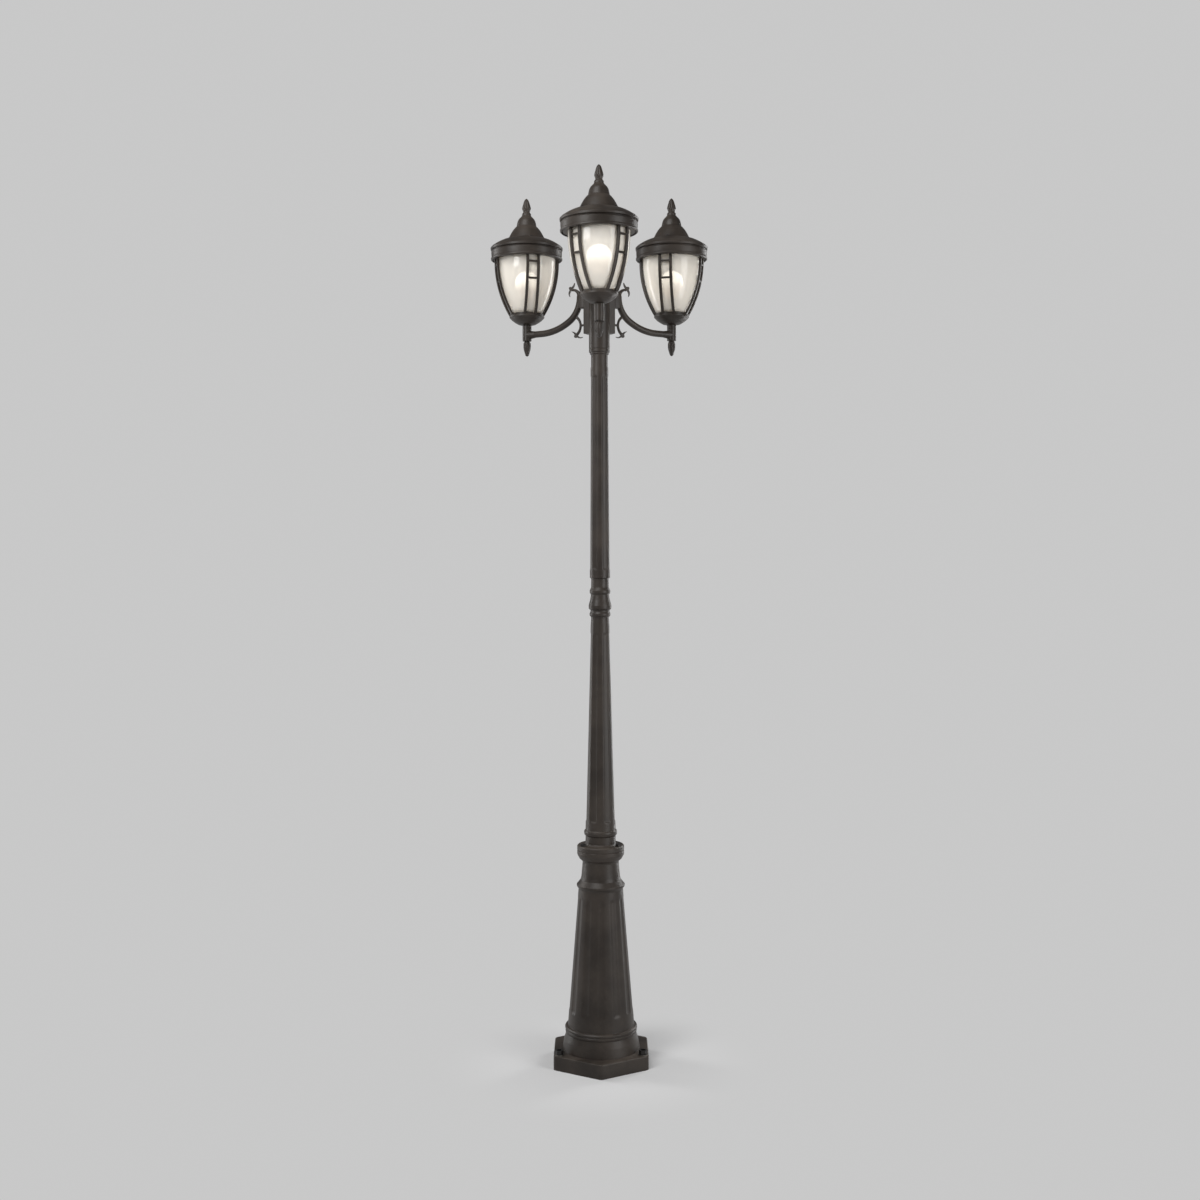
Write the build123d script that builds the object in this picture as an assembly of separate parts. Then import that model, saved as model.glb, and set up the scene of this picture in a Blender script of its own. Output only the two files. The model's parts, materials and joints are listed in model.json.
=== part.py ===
from build123d import *
import os
from math import asin, atan2, cos, hypot, radians, sin, sqrt

# A garden lamp post with three lanterns on curved arms.
# Origin: centre of the foot's underside. +Z up, the front arm points along -Y. Millimetres.

# ---------------------------------------------------------------- driving sizes
total_height = 2200.0        # ground to the tip of the roof finials
arm_angles = {"front": -90.0, "left": 150.0, "right": 30.0}

# Foot and fluted base casting
foot_across_flats = 238.0
foot_height = 36.0
foot_corner_radius = 12.0
foot_wall = 8.0
anchor_circle_radius = 121.0
anchor_count = 3
anchor_first_angle = -30.0
anchor_hole_radius = 6.5
anchor_boss_radius = 12.5
nut_thread_radius = 6.0
nut_across_flats = 18.0
nut_height = 10.0
washer_radius = 12.0
washer_thickness = 2.0
plinth_foot_radius = 98.0
plinth_top_radius = 90.5
plinth_height = 44.0
plinth_bead_height = 24.0
plinth_bead_proud = 2.0
barrel_bottom_radius = 83.5
barrel_top_radius = 55.5
barrel_height = 336.0
barrel_bead_height = 20.0
barrel_bead_proud = 6.0
barrel_flute_count = 12
barrel_flute_share = 0.62     # flute width as a share of its pitch
flute_hollow = 0.12           # flute hollow as a share of half its width
barrel_flute_margin = 20.0
neck_radius = 45.8
neck_height = 56.0
base_wall = 6.0

# Bolted joint of base and post
flange_radius = 59.4
base_flange_height = 18.0
post_flange_height = 14.0
flange_bolt_circle_radius = 50.5
flange_bolt_radius = 4.0
flange_bolt_length = 21.0
flange_bolt_head_across = 13.0
flange_bolt_head_height = 5.3
locating_spigot_height = 16.0
locating_clearance = 0.3

# Lower and upper post tubes
post_foot_radius = 38.6
post_foot_height = 22.0
post_foot_bead_proud = 3.8
post_foot_bead_height = 14.0
lower_post_length = 541.0
lower_post_bottom_radius = 37.6
lower_post_top_radius = 22.9
lower_post_neck = 18.0
post_wall = 3.5
post_flute_count = 6
post_flute_share = 0.66
knop_height = 76.0
knop_radius = 27.4
knop_end_radius = 22.4
knop_bead_radius = 25.4
knop_bead_height = 9.0
upper_post_bottom_radius = 23.6
upper_post_top_radius = 21.4
upper_post_bottom_neck = 24.0
upper_post_top_neck = 38.0
upper_post_neck_radius = 20.9
joining_tube_length = 190.0
joining_tube_wall = 3.0
joining_tube_seat = 2.0       # least post wall round the joining tube
joining_tube_clearance = 0.2
tenon_radius = 17.5
tenon_length = 78.0
tenon_clearance = 0.2

# Hub that carries the arms
sleeve_radius = 26.0
sleeve_height = 44.0
sleeve_band_height = 9.0
hub_height = 106.0
hub_wing_radius = 40.0
hub_wing_width = 22.0
hub_web_thickness = 3.0
hub_cable_hole_radius = 6.0
hub_cap_overhang = 1.5
hub_cap_height = 12.0
hub_cap_plug_depth = 8.0
set_screw_radius = 3.0
set_screw_length = 8.0
terminal_block_length = 22.0
terminal_block_width = 14.0
terminal_block_height = 15.0

# Arms
arm_reach = 215.0            # post axis to lantern axis
arm_tube_radius = 6.3
arm_start_radius = 56.0      # post axis to the arm's upright run
arm_top_above_sleeve = 98.0
arm_drop = 83.0
arm_small_bend = 70.0
arm_bend_end = 170.0
arm_pad_width = 16.0
arm_pad_height = 34.0
arm_tenon_radius = 5.0
arm_tenon_length = 9.0
arm_tenon_clearance = 0.2
arm_flare_length = 16.0
arm_flare_radius = 11.0
barrel_stem_radius = 10.8
barrel_stem_above_arm = 27.0
barrel_stem_below_arm = 14.0
scroll_wire_radius = 3.0
leaf_thickness = 5.0
leaf_tip = 17.0
leaf_spread = 18.0

# Lantern: bottom dish, cage, glass, roof
dish_radius = 44.8
dish_depth = 20.0
dish_rim_height = 4.0
dish_seat_radius = 35.0
dish_seat_height = 11.0
dish_wall = 2.6
cage_ring_height = 4.0
cage_foot_radius = 43.0
cage_top_radius = 81.0
cage_middle_radius = 70.5
cage_middle_share = 0.48     # height of that radius as a share of the curved run
cage_curve_height = 130.0
cage_straight_height = 12.0
rib_width = 7.0
rib_depth = 6.5
rib_pair_spacing = 28.0
rib_pair_angles = (45.0, 135.0, 225.0, 315.0)
crossbar_height = 5.0
crossbar_heights = (93.0, 133.0)
cage_collar_height = 8.0
cage_collar_radius = 85.5
lug_width = 9.0
lug_thickness = 3.0
roof_screw_circle_radius = 54.0
roof_screw_radius = 2.0
roof_screw_head_radius = 4.0
roof_screw_head_height = 2.6
roof_screw_length = 10.0
roof_boss_height = 5.0
roof_boss_radius = 3.8
roof_screw_clearance = 0.15
glass_gap = 1.0
glass_wall = 3.0
glass_floor_radius = 31.0
roof_wall = 2.4
roof_overlap = 4.0           # how far the roof's edge hangs below the cage's collar
roof_lip_radius = 93.0
roof_band_radius = 90.0
roof_bead_radius = 92.3
roof_lip_height = 13.0
roof_band_height = 12.0
roof_bead_height = 13.0
roof_skirt_rise = 16.0
roof_shoulder_radius = 35.0
roof_shoulder_rise = 26.0
roof_bell_radius = 26.7
roof_bell_rise = 29.0
roof_bell_step = 5.0
finial_height = 47.0
finial_radius = 11.6
finial_neck_radius = 7.6
finial_spigot_radius = 3.5
finial_spigot_length = 8.0
finial_flute_count = 8
drop_finial_height = 39.0
drop_finial_radius = 10.0

# Lamp, its holder and the threaded tube that clamps dish, arm and drop finial
nipple_radius = 5.0
nipple_bore_radius = 3.6
nipple_clearance = 0.2
nipple_into_finial = 10.0
nipple_above_nut = 2.0
locknut_across_flats = 16.0
locknut_height = 4.0
holder_radius = 20.0
holder_height = 50.0
holder_leg_height = 10.0
holder_floor = 15.0
cap_radius = 13.2
cap_clearance = 0.3
cap_length = 26.0
bulb_radius = 30.0
bulb_neck_radius = 13.6
bulb_height = 80.0

# ---------------------------------------------------------------- derived heights
plinth_bead_z = foot_height + plinth_height
barrel_z = plinth_bead_z + plinth_bead_height
barrel_top_z = barrel_z + barrel_height
neck_z = barrel_top_z + barrel_bead_height
base_flange_z = neck_z + neck_height
post_flange_z = base_flange_z + base_flange_height
post_foot_z = post_flange_z + post_flange_height
post_bead_z = post_foot_z + post_foot_height
lower_post_z = post_bead_z + post_foot_bead_height
knop_z = lower_post_z + lower_post_length
upper_post_z = knop_z + knop_height
stem_above_sleeve = sleeve_height + arm_top_above_sleeve - arm_drop + barrel_stem_above_arm
lantern_height = (dish_depth + dish_rim_height + cage_curve_height + cage_straight_height - roof_overlap
                  + roof_bead_height + roof_band_height + roof_lip_height + roof_skirt_rise
                  + roof_shoulder_rise + roof_bell_step + roof_bell_rise + finial_height)
sleeve_z = total_height - stem_above_sleeve - lantern_height
hub_z = sleeve_z + sleeve_height
hub_top_z = hub_z + hub_height
arm_top_z = hub_z + arm_top_above_sleeve
arm_end_z = arm_top_z - arm_drop
dish_z = arm_end_z + barrel_stem_above_arm
dish_rim_z = dish_z + dish_depth + dish_rim_height
cage_z = dish_rim_z
cage_foot_z = cage_z + cage_ring_height
cage_collar_z = cage_z + cage_curve_height + cage_straight_height
roof_z = cage_collar_z - roof_overlap
lip_z = roof_z + roof_bead_height + roof_band_height
skirt_z = lip_z + roof_lip_height
waist_z = skirt_z + roof_skirt_rise
shoulder_z = waist_z + roof_shoulder_rise
roof_top_z = shoulder_z + roof_bell_step + roof_bell_rise
finial_top_z = roof_top_z + finial_height
tenon_top_z = sleeve_z + tenon_length
web_z = tenon_top_z + 4.0


def profile(*points):
    """A closed face in the XZ plane through (radius, height) points."""
    return Plane.XZ * make_face(Polyline(*points, close=True))


def turned(*points):
    """A solid of revolution about Z through (radius, height) points."""
    return revolve(profile(*points), Axis.Z)


def turned_lines(*edges):
    """A solid of revolution about Z from connected lines and arcs that close a face."""
    return revolve(Plane.XZ * make_face(Curve() + list(edges)), Axis.Z)


def post(radius, bottom, height):
    """An upright cylinder that starts at a height."""
    return Pos(0, 0, bottom) * Cylinder(radius, height, align=(Align.CENTER, Align.CENTER, Align.MIN))


def hexagon_prism(across_flats, bottom, height):
    """An upright hexagonal prism that starts at a height."""
    hexagon = RegularPolygon(across_flats / 2, 6, major_radius=False, rotation=30)
    return Pos(0, 0, bottom) * extrude(hexagon, height)


def polar(radius, angle, height=0.0):
    """A place on a circle round Z, turned to face outwards."""
    return Rot(0, 0, angle) * Pos(radius, 0, height)


def inset(points, wall):
    """Points of an open outline moved square to it by one wall, towards the axis side."""
    moved = []
    for index, (radius, height) in enumerate(points):
        normals = []
        for start, end in ((index - 1, index), (index, index + 1)):
            if start < 0 or end >= len(points):
                continue
            run = points[end][0] - points[start][0]
            rise = points[end][1] - points[start][1]
            length = hypot(run, rise)
            normals.append((rise / length, -run / length))
        first, last = normals[0], normals[-1]
        scale = wall / (1 + first[0] * last[0] + first[1] * last[1])
        moved.append((radius - scale * (first[0] + last[0]), height - scale * (first[1] + last[1])))
    return moved


def flute_floor(radius, count, share):
    """Least radius at the bottom of a flute cut in a round of this radius."""
    half_angle = radians(180.0 / count * share)
    return radius * cos(half_angle) - flute_hollow * radius * sin(half_angle)


def flute_cutters(count, share, low, high, first_angle):
    """Tapered cutters for hollow flutes, between two (radius, height) ends of a cone."""
    half_angle = radians(180.0 / count * share)
    circles = []
    for radius, height in (low, high):
        half_width = radius * sin(half_angle)
        hollow = flute_hollow * half_width
        cutter_radius = (half_width**2 + hollow**2) / (2 * hollow)
        centre = flute_floor(radius, count, share) + cutter_radius
        circles.append(Pos(centre, 0, height) * Circle(cutter_radius))
    cutter = loft(circles, ruled=True)
    step = 360.0 / count
    return [Rot(0, 0, first_angle + step * index) * cutter for index in range(count)]


# ---------------------------------------------------------------- base
def make_base():
    """One hollow casting: hexagonal foot, plinth, fluted barrel, neck and flange."""
    hexagon = RegularPolygon(foot_across_flats / 2, 6, major_radius=False, rotation=30)
    foot = extrude(fillet(hexagon.vertices(), foot_corner_radius), foot_height)
    foot = chamfer(foot.faces().sort_by(Axis.Z)[-1].edges(), 2.5)
    bead_radius = plinth_top_radius + plinth_bead_proud
    half_bead = plinth_bead_height / 2
    top_bead_radius = barrel_top_radius + barrel_bead_proud
    middle_bead_z = barrel_top_z + barrel_bead_height / 2
    body = turned(
        (0, 0.5 * foot_height),
        (plinth_foot_radius, 0.5 * foot_height),
        (plinth_foot_radius, foot_height + 4),
        (0.5 * (plinth_foot_radius + plinth_top_radius) + 1.5, foot_height + 0.6 * plinth_height),
        (plinth_top_radius, plinth_bead_z - 4),
        (plinth_top_radius, plinth_bead_z),
        (bead_radius, plinth_bead_z + 3),
        (bead_radius, plinth_bead_z + half_bead - 2),
        (bead_radius - 1.6, plinth_bead_z + half_bead),
        (bead_radius - 1, plinth_bead_z + half_bead + 3),
        (bead_radius - 2.5, plinth_bead_z + half_bead + 7),
        (barrel_bottom_radius, barrel_z),
        (barrel_top_radius, barrel_top_z),
        (barrel_top_radius + 1, barrel_top_z + 3),
        (top_bead_radius, middle_bead_z - 4),
        (top_bead_radius, middle_bead_z + 3),
        (barrel_top_radius + 1, neck_z),
        (neck_radius + 4.5, neck_z + 10),
        (neck_radius + 1.4, neck_z + 25),
        (neck_radius, base_flange_z - 5),
        (neck_radius + 4, base_flange_z),
        (flange_radius - 4.5, base_flange_z + 5),
        (flange_radius, base_flange_z + 13),
        (flange_radius, post_flange_z),
        (0, post_flange_z),
    )
    # the flutes stop short of the beads
    taper = (barrel_top_radius - barrel_bottom_radius) / barrel_height
    low_z = barrel_z + barrel_flute_margin
    high_z = barrel_top_z - barrel_flute_margin
    low = (barrel_bottom_radius + taper * barrel_flute_margin, low_z)
    high = (barrel_top_radius - taper * barrel_flute_margin, high_z)
    cutters = flute_cutters(barrel_flute_count, barrel_flute_share, low, high, -90)
    body = body - cutters
    hollow = turned(
        (0, -1),
        (plinth_foot_radius - foot_wall, -1),
        (plinth_foot_radius - foot_wall, foot_height),
        (plinth_top_radius - foot_wall, plinth_bead_z),
        (flute_floor(barrel_bottom_radius, barrel_flute_count, barrel_flute_share) - base_wall, barrel_z),
        (flute_floor(barrel_top_radius, barrel_flute_count, barrel_flute_share) - base_wall, barrel_top_z),
        (neck_radius - base_wall, neck_z + 15),
        (neck_radius - base_wall, post_flange_z + 1),
        (0, post_flange_z + 1),
    )
    base = foot + body - hollow
    anchor_hole = post(anchor_hole_radius, -1, foot_height + 2)
    bolt_hole = post(flange_bolt_radius, post_flange_z - flange_bolt_length + post_flange_height - 1.5,
                     flange_bolt_length + 5)
    for angle in anchor_directions():
        base = base - polar(anchor_circle_radius, angle) * anchor_hole
        base = base - polar(flange_bolt_circle_radius, angle) * bolt_hole
    return base


def anchor_directions():
    """Directions of the anchor bolts, which the flange bolts share."""
    return [anchor_first_angle + 360.0 / anchor_count * index for index in range(anchor_count)]


def make_anchor_washers():
    """Flat washers on the foot."""
    ring = post(washer_radius, foot_height, washer_thickness)
    ring = ring - post(anchor_hole_radius, foot_height - 1, washer_thickness + 2)
    return [polar(anchor_circle_radius, angle) * ring for angle in anchor_directions()]


def make_anchor_nuts():
    """Hexagon nuts on the washers, for the ground's own studs."""
    low = foot_height + washer_thickness
    nut = hexagon_prism(nut_across_flats, low, nut_height) - post(nut_thread_radius, low - 1, nut_height + 2)
    return [polar(anchor_circle_radius, angle) * nut for angle in anchor_directions()]


def make_flange_bolts():
    """Hexagon head bolts that hold the post's flange to the base's flange."""
    bolt = hexagon_prism(flange_bolt_head_across, post_foot_z, flange_bolt_head_height)
    bolt = bolt + post(flange_bolt_radius, post_foot_z - flange_bolt_length, flange_bolt_length + 1)
    return [polar(flange_bolt_circle_radius, angle) * bolt for angle in anchor_directions()]


# ---------------------------------------------------------------- post
def fluted_tube(bottom, top, low_neck, high_neck, outline_low, outline_high):
    """A tapered tube with flutes between its plain necks; outlines add its two ends."""
    (bottom_radius, bottom_z), (top_radius, top_z) = bottom, top
    taper = (top_radius - bottom_radius) / (top_z - bottom_z)
    body = turned(*outline_low, (bottom_radius, bottom_z), (top_radius, top_z), *outline_high)
    low = (bottom_radius + taper * low_neck, bottom_z + low_neck)
    high = (top_radius - taper * high_neck, top_z - high_neck)
    return body - flute_cutters(post_flute_count, post_flute_share, low, high, -60)


def make_lower_post():
    """Lower tube with its bolted flange, foot ring and locating spigot."""
    spigot_radius = neck_radius - base_wall - locating_clearance
    bead_radius = post_foot_radius + post_foot_bead_proud
    low_outline = (
        (0, post_flange_z - locating_spigot_height),
        (spigot_radius, post_flange_z - locating_spigot_height),
        (spigot_radius, post_flange_z),
        (flange_radius, post_flange_z),
        (flange_radius, post_foot_z - 2),
        (flange_radius - 2, post_foot_z),
        (post_foot_radius + 2, post_foot_z),
        (post_foot_radius, post_foot_z + 5),
        (post_foot_radius, post_bead_z - 4),
        (bead_radius - 1, post_bead_z),
        (bead_radius, post_bead_z + 3),
        (bead_radius - 1, post_bead_z + 8),
        (lower_post_bottom_radius, lower_post_z - 1),
    )
    tube = fluted_tube((lower_post_bottom_radius, lower_post_z), (lower_post_top_radius, knop_z),
                       lower_post_neck, lower_post_neck, low_outline, ((0, knop_z),))
    bore_low = flute_floor(lower_post_bottom_radius, post_flute_count, post_flute_share) - post_wall
    bore_high = joining_tube_radius() + joining_tube_clearance
    bore = turned(
        (0, post_flange_z - locating_spigot_height - 1),
        (bore_low, post_flange_z - locating_spigot_height - 1),
        (bore_low, lower_post_z),
        (bore_high, knop_z - joining_tube_length / 2),
        (bore_high, knop_z + 1),
        (0, knop_z + 1),
    )
    tube = tube - bore
    hole = post(flange_bolt_radius + 0.5, post_flange_z - 1, post_flange_height + 4)
    for angle in anchor_directions():
        tube = tube - polar(flange_bolt_circle_radius, angle) * hole
    return tube


def joining_tube_radius():
    """Outer radius of the tube that joins the two posts inside the knop."""
    return flute_floor(upper_post_neck_radius, post_flute_count, post_flute_share) - joining_tube_seat


def make_joining_tube():
    """Plain tube that runs through the knop and into both posts."""
    middle = knop_z + knop_height / 2
    outer = joining_tube_radius()
    low = middle - joining_tube_length / 2
    tube = post(outer, low, joining_tube_length)
    return tube - post(outer - joining_tube_wall, low - 1, joining_tube_length + 2)


def make_knop():
    """Turned ring between the two posts, with a bead at each end."""
    top = knop_z + knop_height
    middle = knop_z + 0.48 * knop_height
    bore = joining_tube_radius() + joining_tube_clearance
    groove = knop_bead_radius - 2.6
    return turned(
        (bore, knop_z),
        (knop_end_radius + 0.6, knop_z),
        (knop_end_radius + 0.6, knop_z + 5),
        (knop_bead_radius, knop_z + 7),
        (knop_bead_radius, knop_z + 5 + knop_bead_height),
        (groove + 0.6, knop_z + 9 + knop_bead_height),
        (knop_radius - 1.2, middle - 9),
        (knop_radius, middle),
        (knop_radius - 0.8, middle + 8),
        (groove, middle + 21),
        (knop_bead_radius - 0.6, middle + 24),
        (knop_bead_radius, middle + 28),
        (knop_bead_radius - 1, middle + 32),
        (knop_end_radius, top),
        (bore, top),
    )


def make_upper_post():
    """Upper tube, with the tenon that enters the hub."""
    neck_low = upper_post_z + upper_post_bottom_neck
    neck_high = sleeve_z - upper_post_top_neck
    body = turned(
        (0, upper_post_z),
        (knop_end_radius, upper_post_z),
        (knop_end_radius - 0.3, neck_low - 2),
        (upper_post_bottom_radius, neck_low),
        (upper_post_top_radius, neck_high),
        (upper_post_neck_radius, neck_high + 3),
        (upper_post_neck_radius, sleeve_z),
        (tenon_radius, sleeve_z),
        (tenon_radius, tenon_top_z),
        (0, tenon_top_z),
    )
    low = (upper_post_bottom_radius, neck_low - 0.5)
    high = (upper_post_top_radius, neck_high + 0.5)
    body = body - flute_cutters(post_flute_count, post_flute_share, low, high, -60)
    bore_low = joining_tube_radius() + joining_tube_clearance
    bore_high = tenon_radius - post_wall
    bore = turned(
        (0, upper_post_z - 1),
        (bore_low, upper_post_z - 1),
        (bore_low, upper_post_z + joining_tube_length / 2),
        (bore_high, upper_post_z + joining_tube_length / 2 + 10),
        (bore_high, tenon_top_z + 1),
        (0, tenon_top_z + 1),
    )
    return body - bore


# ---------------------------------------------------------------- hub
def make_hub():
    """Hub casting: sleeve over the post's tenon and three wings for the arms."""
    sleeve = turned(
        (0, sleeve_z),
        (sleeve_radius - 2, sleeve_z),
        (sleeve_radius, sleeve_z + 2),
        (sleeve_radius, sleeve_z + sleeve_band_height - 1),
        (sleeve_radius - 0.8, sleeve_z + sleeve_band_height),
        (sleeve_radius, sleeve_z + sleeve_band_height + 1),
        (sleeve_radius, hub_top_z),
        (0, hub_top_z),
    )
    wing = Pos(0, 0, hub_z) * Box(hub_wing_radius, hub_wing_width, hub_height,
                                  align=(Align.MIN, Align.CENTER, Align.MIN))
    hub = sleeve
    for angle in arm_angles.values():
        hub = hub + Rot(0, 0, angle) * wing
    bore = tenon_radius + tenon_clearance
    hub = hub - post(bore, sleeve_z - 1, web_z - sleeve_z + 1)
    hub = hub - post(bore, web_z + hub_web_thickness, hub_height + sleeve_height)
    hub = hub - post(hub_cable_hole_radius, web_z - 1, hub_web_thickness + 2)
    tenon_hole = Pos(bore - 3, 0, arm_pad_z()) * Rot(0, 90, 0) * Cylinder(
        arm_tenon_radius + arm_tenon_clearance, hub_wing_radius, align=(Align.CENTER, Align.CENTER, Align.MIN))
    screw_hole = set_screw_place() * set_screw_body(3.0)
    for angle in arm_angles.values():
        hub = hub - Rot(0, 0, angle) * tenon_hole
        hub = hub - Rot(0, 0, angle) * screw_hole
    return hub


def arm_pad_z():
    """Height of the middle of an arm's mounting pad."""
    return arm_top_z - 12.0


def set_screw_body(extra=0.0):
    """A headless socket screw that points inwards along X."""
    screw = Rot(0, 90, 0) * Cylinder(set_screw_radius, set_screw_length + extra,
                                     align=(Align.CENTER, Align.CENTER, Align.MIN))
    if extra:
        return screw
    socket = extrude(RegularPolygon(1.5, 6), 3.0)
    return screw - Pos(set_screw_length - 2.5, 0, 0) * Rot(0, 90, 0) * socket


def set_screw_place():
    """Place of a set screw in the sleeve, midway between two arms."""
    return Rot(0, 0, 60) * Pos(tenon_radius, 0, sleeve_z + 0.55 * sleeve_height)


def make_set_screws():
    """Screws that clamp the hub's sleeve on the post."""
    return [Rot(0, 0, angle) * set_screw_place() * set_screw_body() for angle in arm_angles.values()]


def make_hub_cap():
    """Low domed lid that plugs the top of the hub."""
    radius = sleeve_radius + hub_cap_overhang
    plug = tenon_radius
    dome = turned(
        (0, hub_top_z),
        (radius, hub_top_z),
        (radius, hub_top_z + 3),
        (radius - 5, hub_top_z + 0.6 * hub_cap_height),
        (radius - 14, hub_top_z + 0.93 * hub_cap_height),
        (0, hub_top_z + hub_cap_height),
    )
    dome = dome + post(plug, hub_top_z - hub_cap_plug_depth, hub_cap_plug_depth + 1)
    return dome - post(plug - 3, hub_top_z - hub_cap_plug_depth - 1, hub_cap_plug_depth + 1)


def make_terminal_block():
    """Terminal block that joins the supply and the three lamp leads, on the hub's web."""
    low = web_z + hub_web_thickness
    block = Pos(0, 0, low) * Box(terminal_block_length, terminal_block_width, terminal_block_height,
                                 align=(Align.CENTER, Align.CENTER, Align.MIN))
    block = chamfer(block.edges().filter_by(Axis.Z), 1.5)
    for offset in (-0.3, 0.0, 0.3):
        entry = Pos(offset * terminal_block_length, 0, low + 0.4 * terminal_block_height)
        block = block - entry * Rot(90, 0, 0) * Cylinder(2.0, terminal_block_width + 2)
    return block


# ---------------------------------------------------------------- arms
def arm_path():
    """Two tangent arcs and a straight run, from the arm's top to the lantern's axis."""
    width = arm_bend_end - arm_start_radius
    large_bend = ((width - arm_small_bend)**2 + arm_drop**2 - arm_small_bend**2) / (2 * (arm_drop - arm_small_bend))
    joint = atan2(large_bend - arm_drop, width - arm_small_bend)
    meet = (arm_start_radius + arm_small_bend * (1 - cos(joint)), arm_top_z - arm_small_bend * sin(joint))
    first_middle = (arm_start_radius + arm_small_bend * (1 - cos(joint / 2)),
                    arm_top_z - arm_small_bend * sin(joint / 2))
    half = (joint + radians(90)) / 2
    second_middle = (arm_bend_end - large_bend * cos(half), arm_end_z + large_bend * (1 - sin(half)))
    start = (arm_start_radius, arm_top_z)
    bend_end = (arm_bend_end, arm_end_z)
    end = (arm_reach, arm_end_z)
    return [ThreePointArc(start, first_middle, meet), ThreePointArc(meet, second_middle, bend_end),
            Line(bend_end, end)]


def leaf(place_x, place_z, direction):
    """A flat three-pointed leaf at the end of a scroll, facing sideways."""
    tip, spread = leaf_tip, leaf_spread
    side = [
        Line((-3, 1.6), (2, 2.6)),
        ThreePointArc((2, 2.6), (3.6, 0.55 * spread), (0.3 * tip, spread)),
        ThreePointArc((0.3 * tip, spread), (0.55 * tip, 0.5 * spread), (0.6 * tip, 4.4)),
        Line((0.6 * tip, 4.4), (tip, 0)),
    ]
    other = [mirror(edge, about=Plane.XZ) for edge in side]
    outline = make_face(Curve() + side + other + [Line((-3, 1.6), (-3, -1.6))])
    flat = Rot(90, 0, 0) * Rot(0, 0, direction) * extrude(outline, leaf_thickness / 2, both=True)
    return Pos(place_x, 0, place_z) * flat


def make_arm():
    """Arm casting along +X: curved tube, lantern stem, mounting pad, scrolls and leaves."""
    edges = [Plane.XZ * edge for edge in arm_path()]
    path = Curve() + edges
    section = Plane(origin=(arm_start_radius, 0, arm_top_z), z_dir=(0, 0, -1)) * Circle(arm_tube_radius)
    tube = sweep(section, path=path)
    stem_low = arm_end_z - barrel_stem_below_arm
    stem_height = barrel_stem_above_arm + barrel_stem_below_arm
    stem = Pos(arm_reach, 0, 0) * post(barrel_stem_radius, stem_low, stem_height)
    flare_start = arm_reach - barrel_stem_radius - arm_flare_length
    flare = Pos(flare_start, 0, arm_end_z) * Rot(0, 90, 0) * Cone(
        arm_tube_radius, arm_flare_radius - 0.8, arm_flare_length + 5,
        align=(Align.CENTER, Align.CENTER, Align.MIN))
    pad = Pos(hub_wing_radius, 0, arm_pad_z()) * Box(
        arm_start_radius - hub_wing_radius, arm_pad_width, arm_pad_height,
        align=(Align.MIN, Align.CENTER, Align.CENTER))
    pad = chamfer(pad.edges().filter_by(Axis.X), 3.0)
    tenon = Pos(hub_wing_radius - arm_tenon_length, 0, arm_pad_z()) * Rot(0, 90, 0) * Cylinder(
        arm_tenon_radius, arm_tenon_length + 1, align=(Align.CENTER, Align.CENTER, Align.MIN))
    top_end = (arm_start_radius + 14, arm_top_z + 20.5)
    upper_edge = Plane.XZ * ThreePointArc(
        (arm_start_radius, arm_top_z), (arm_start_radius + 3.5, arm_top_z + 13), top_end)
    top_section = Plane(origin=upper_edge @ 0, z_dir=upper_edge % 0) * Circle(scroll_wire_radius + 0.8)
    upper = sweep(top_section, path=upper_edge)
    upper = upper + Pos(arm_start_radius, 0, arm_top_z) * Sphere(arm_tube_radius)
    link_x = arm_start_radius - 1.5
    link_z = arm_top_z - 66.0
    low_end = (arm_start_radius + 8, link_z - 25)
    lower_edge = Plane.XZ * ThreePointArc(
        (arm_start_radius + 17, link_z + 20), (link_x, link_z), low_end)
    low_section = Plane(origin=lower_edge @ 0, z_dir=lower_edge % 0) * Circle(scroll_wire_radius)
    lower = sweep(low_section, path=lower_edge)
    link = Pos(hub_wing_radius, 0, link_z) * Rot(0, 90, 0) * Cylinder(
        scroll_wire_radius, link_x - hub_wing_radius, align=(Align.CENTER, Align.CENTER, Align.MIN))
    arm = tube + stem + flare + pad + tenon + upper + lower + link
    arm = arm + leaf(top_end[0], top_end[1], 30) + leaf(low_end[0], low_end[1], -40)
    bore = Pos(arm_reach, 0, 0) * post(nipple_radius + nipple_clearance, stem_low - 1, stem_height + 2)
    return arm - bore


# ---------------------------------------------------------------- lantern, on its own axis
def make_drop_finial():
    """Bud-shaped nut that hangs under the arm's stem."""
    top = arm_end_z - barrel_stem_below_arm
    body = turned(
        (0, top),
        (0.85 * drop_finial_radius, top),
        (0.85 * drop_finial_radius, top - 2),
        (0.7 * drop_finial_radius, top - 4),
        (0.98 * drop_finial_radius, top - 7),
        (drop_finial_radius, top - 12),
        (0.86 * drop_finial_radius, top - 22),
        (0.5 * drop_finial_radius, top - 33),
        (0.32 * drop_finial_radius, top - 36),
        (0.25 * drop_finial_radius, top - drop_finial_height + 0.6),
        (0, top - drop_finial_height),
    )
    return body - post(nipple_radius + nipple_clearance, top - nipple_into_finial, nipple_into_finial + 1)


def make_nipple():
    """Hollow threaded tube through finial, stem, dish and lock nut."""
    low = arm_end_z - barrel_stem_below_arm - nipple_into_finial
    high = dish_z + dish_wall + locknut_height + nipple_above_nut
    return post(nipple_radius, low, high - low) - post(nipple_bore_radius, low - 1, high - low + 2)


def make_locknut():
    """Lock nut inside the dish."""
    low = dish_z + dish_wall
    nut = hexagon_prism(locknut_across_flats, low, locknut_height)
    return nut - post(nipple_radius + nipple_clearance, low - 1, locknut_height + 2)


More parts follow.
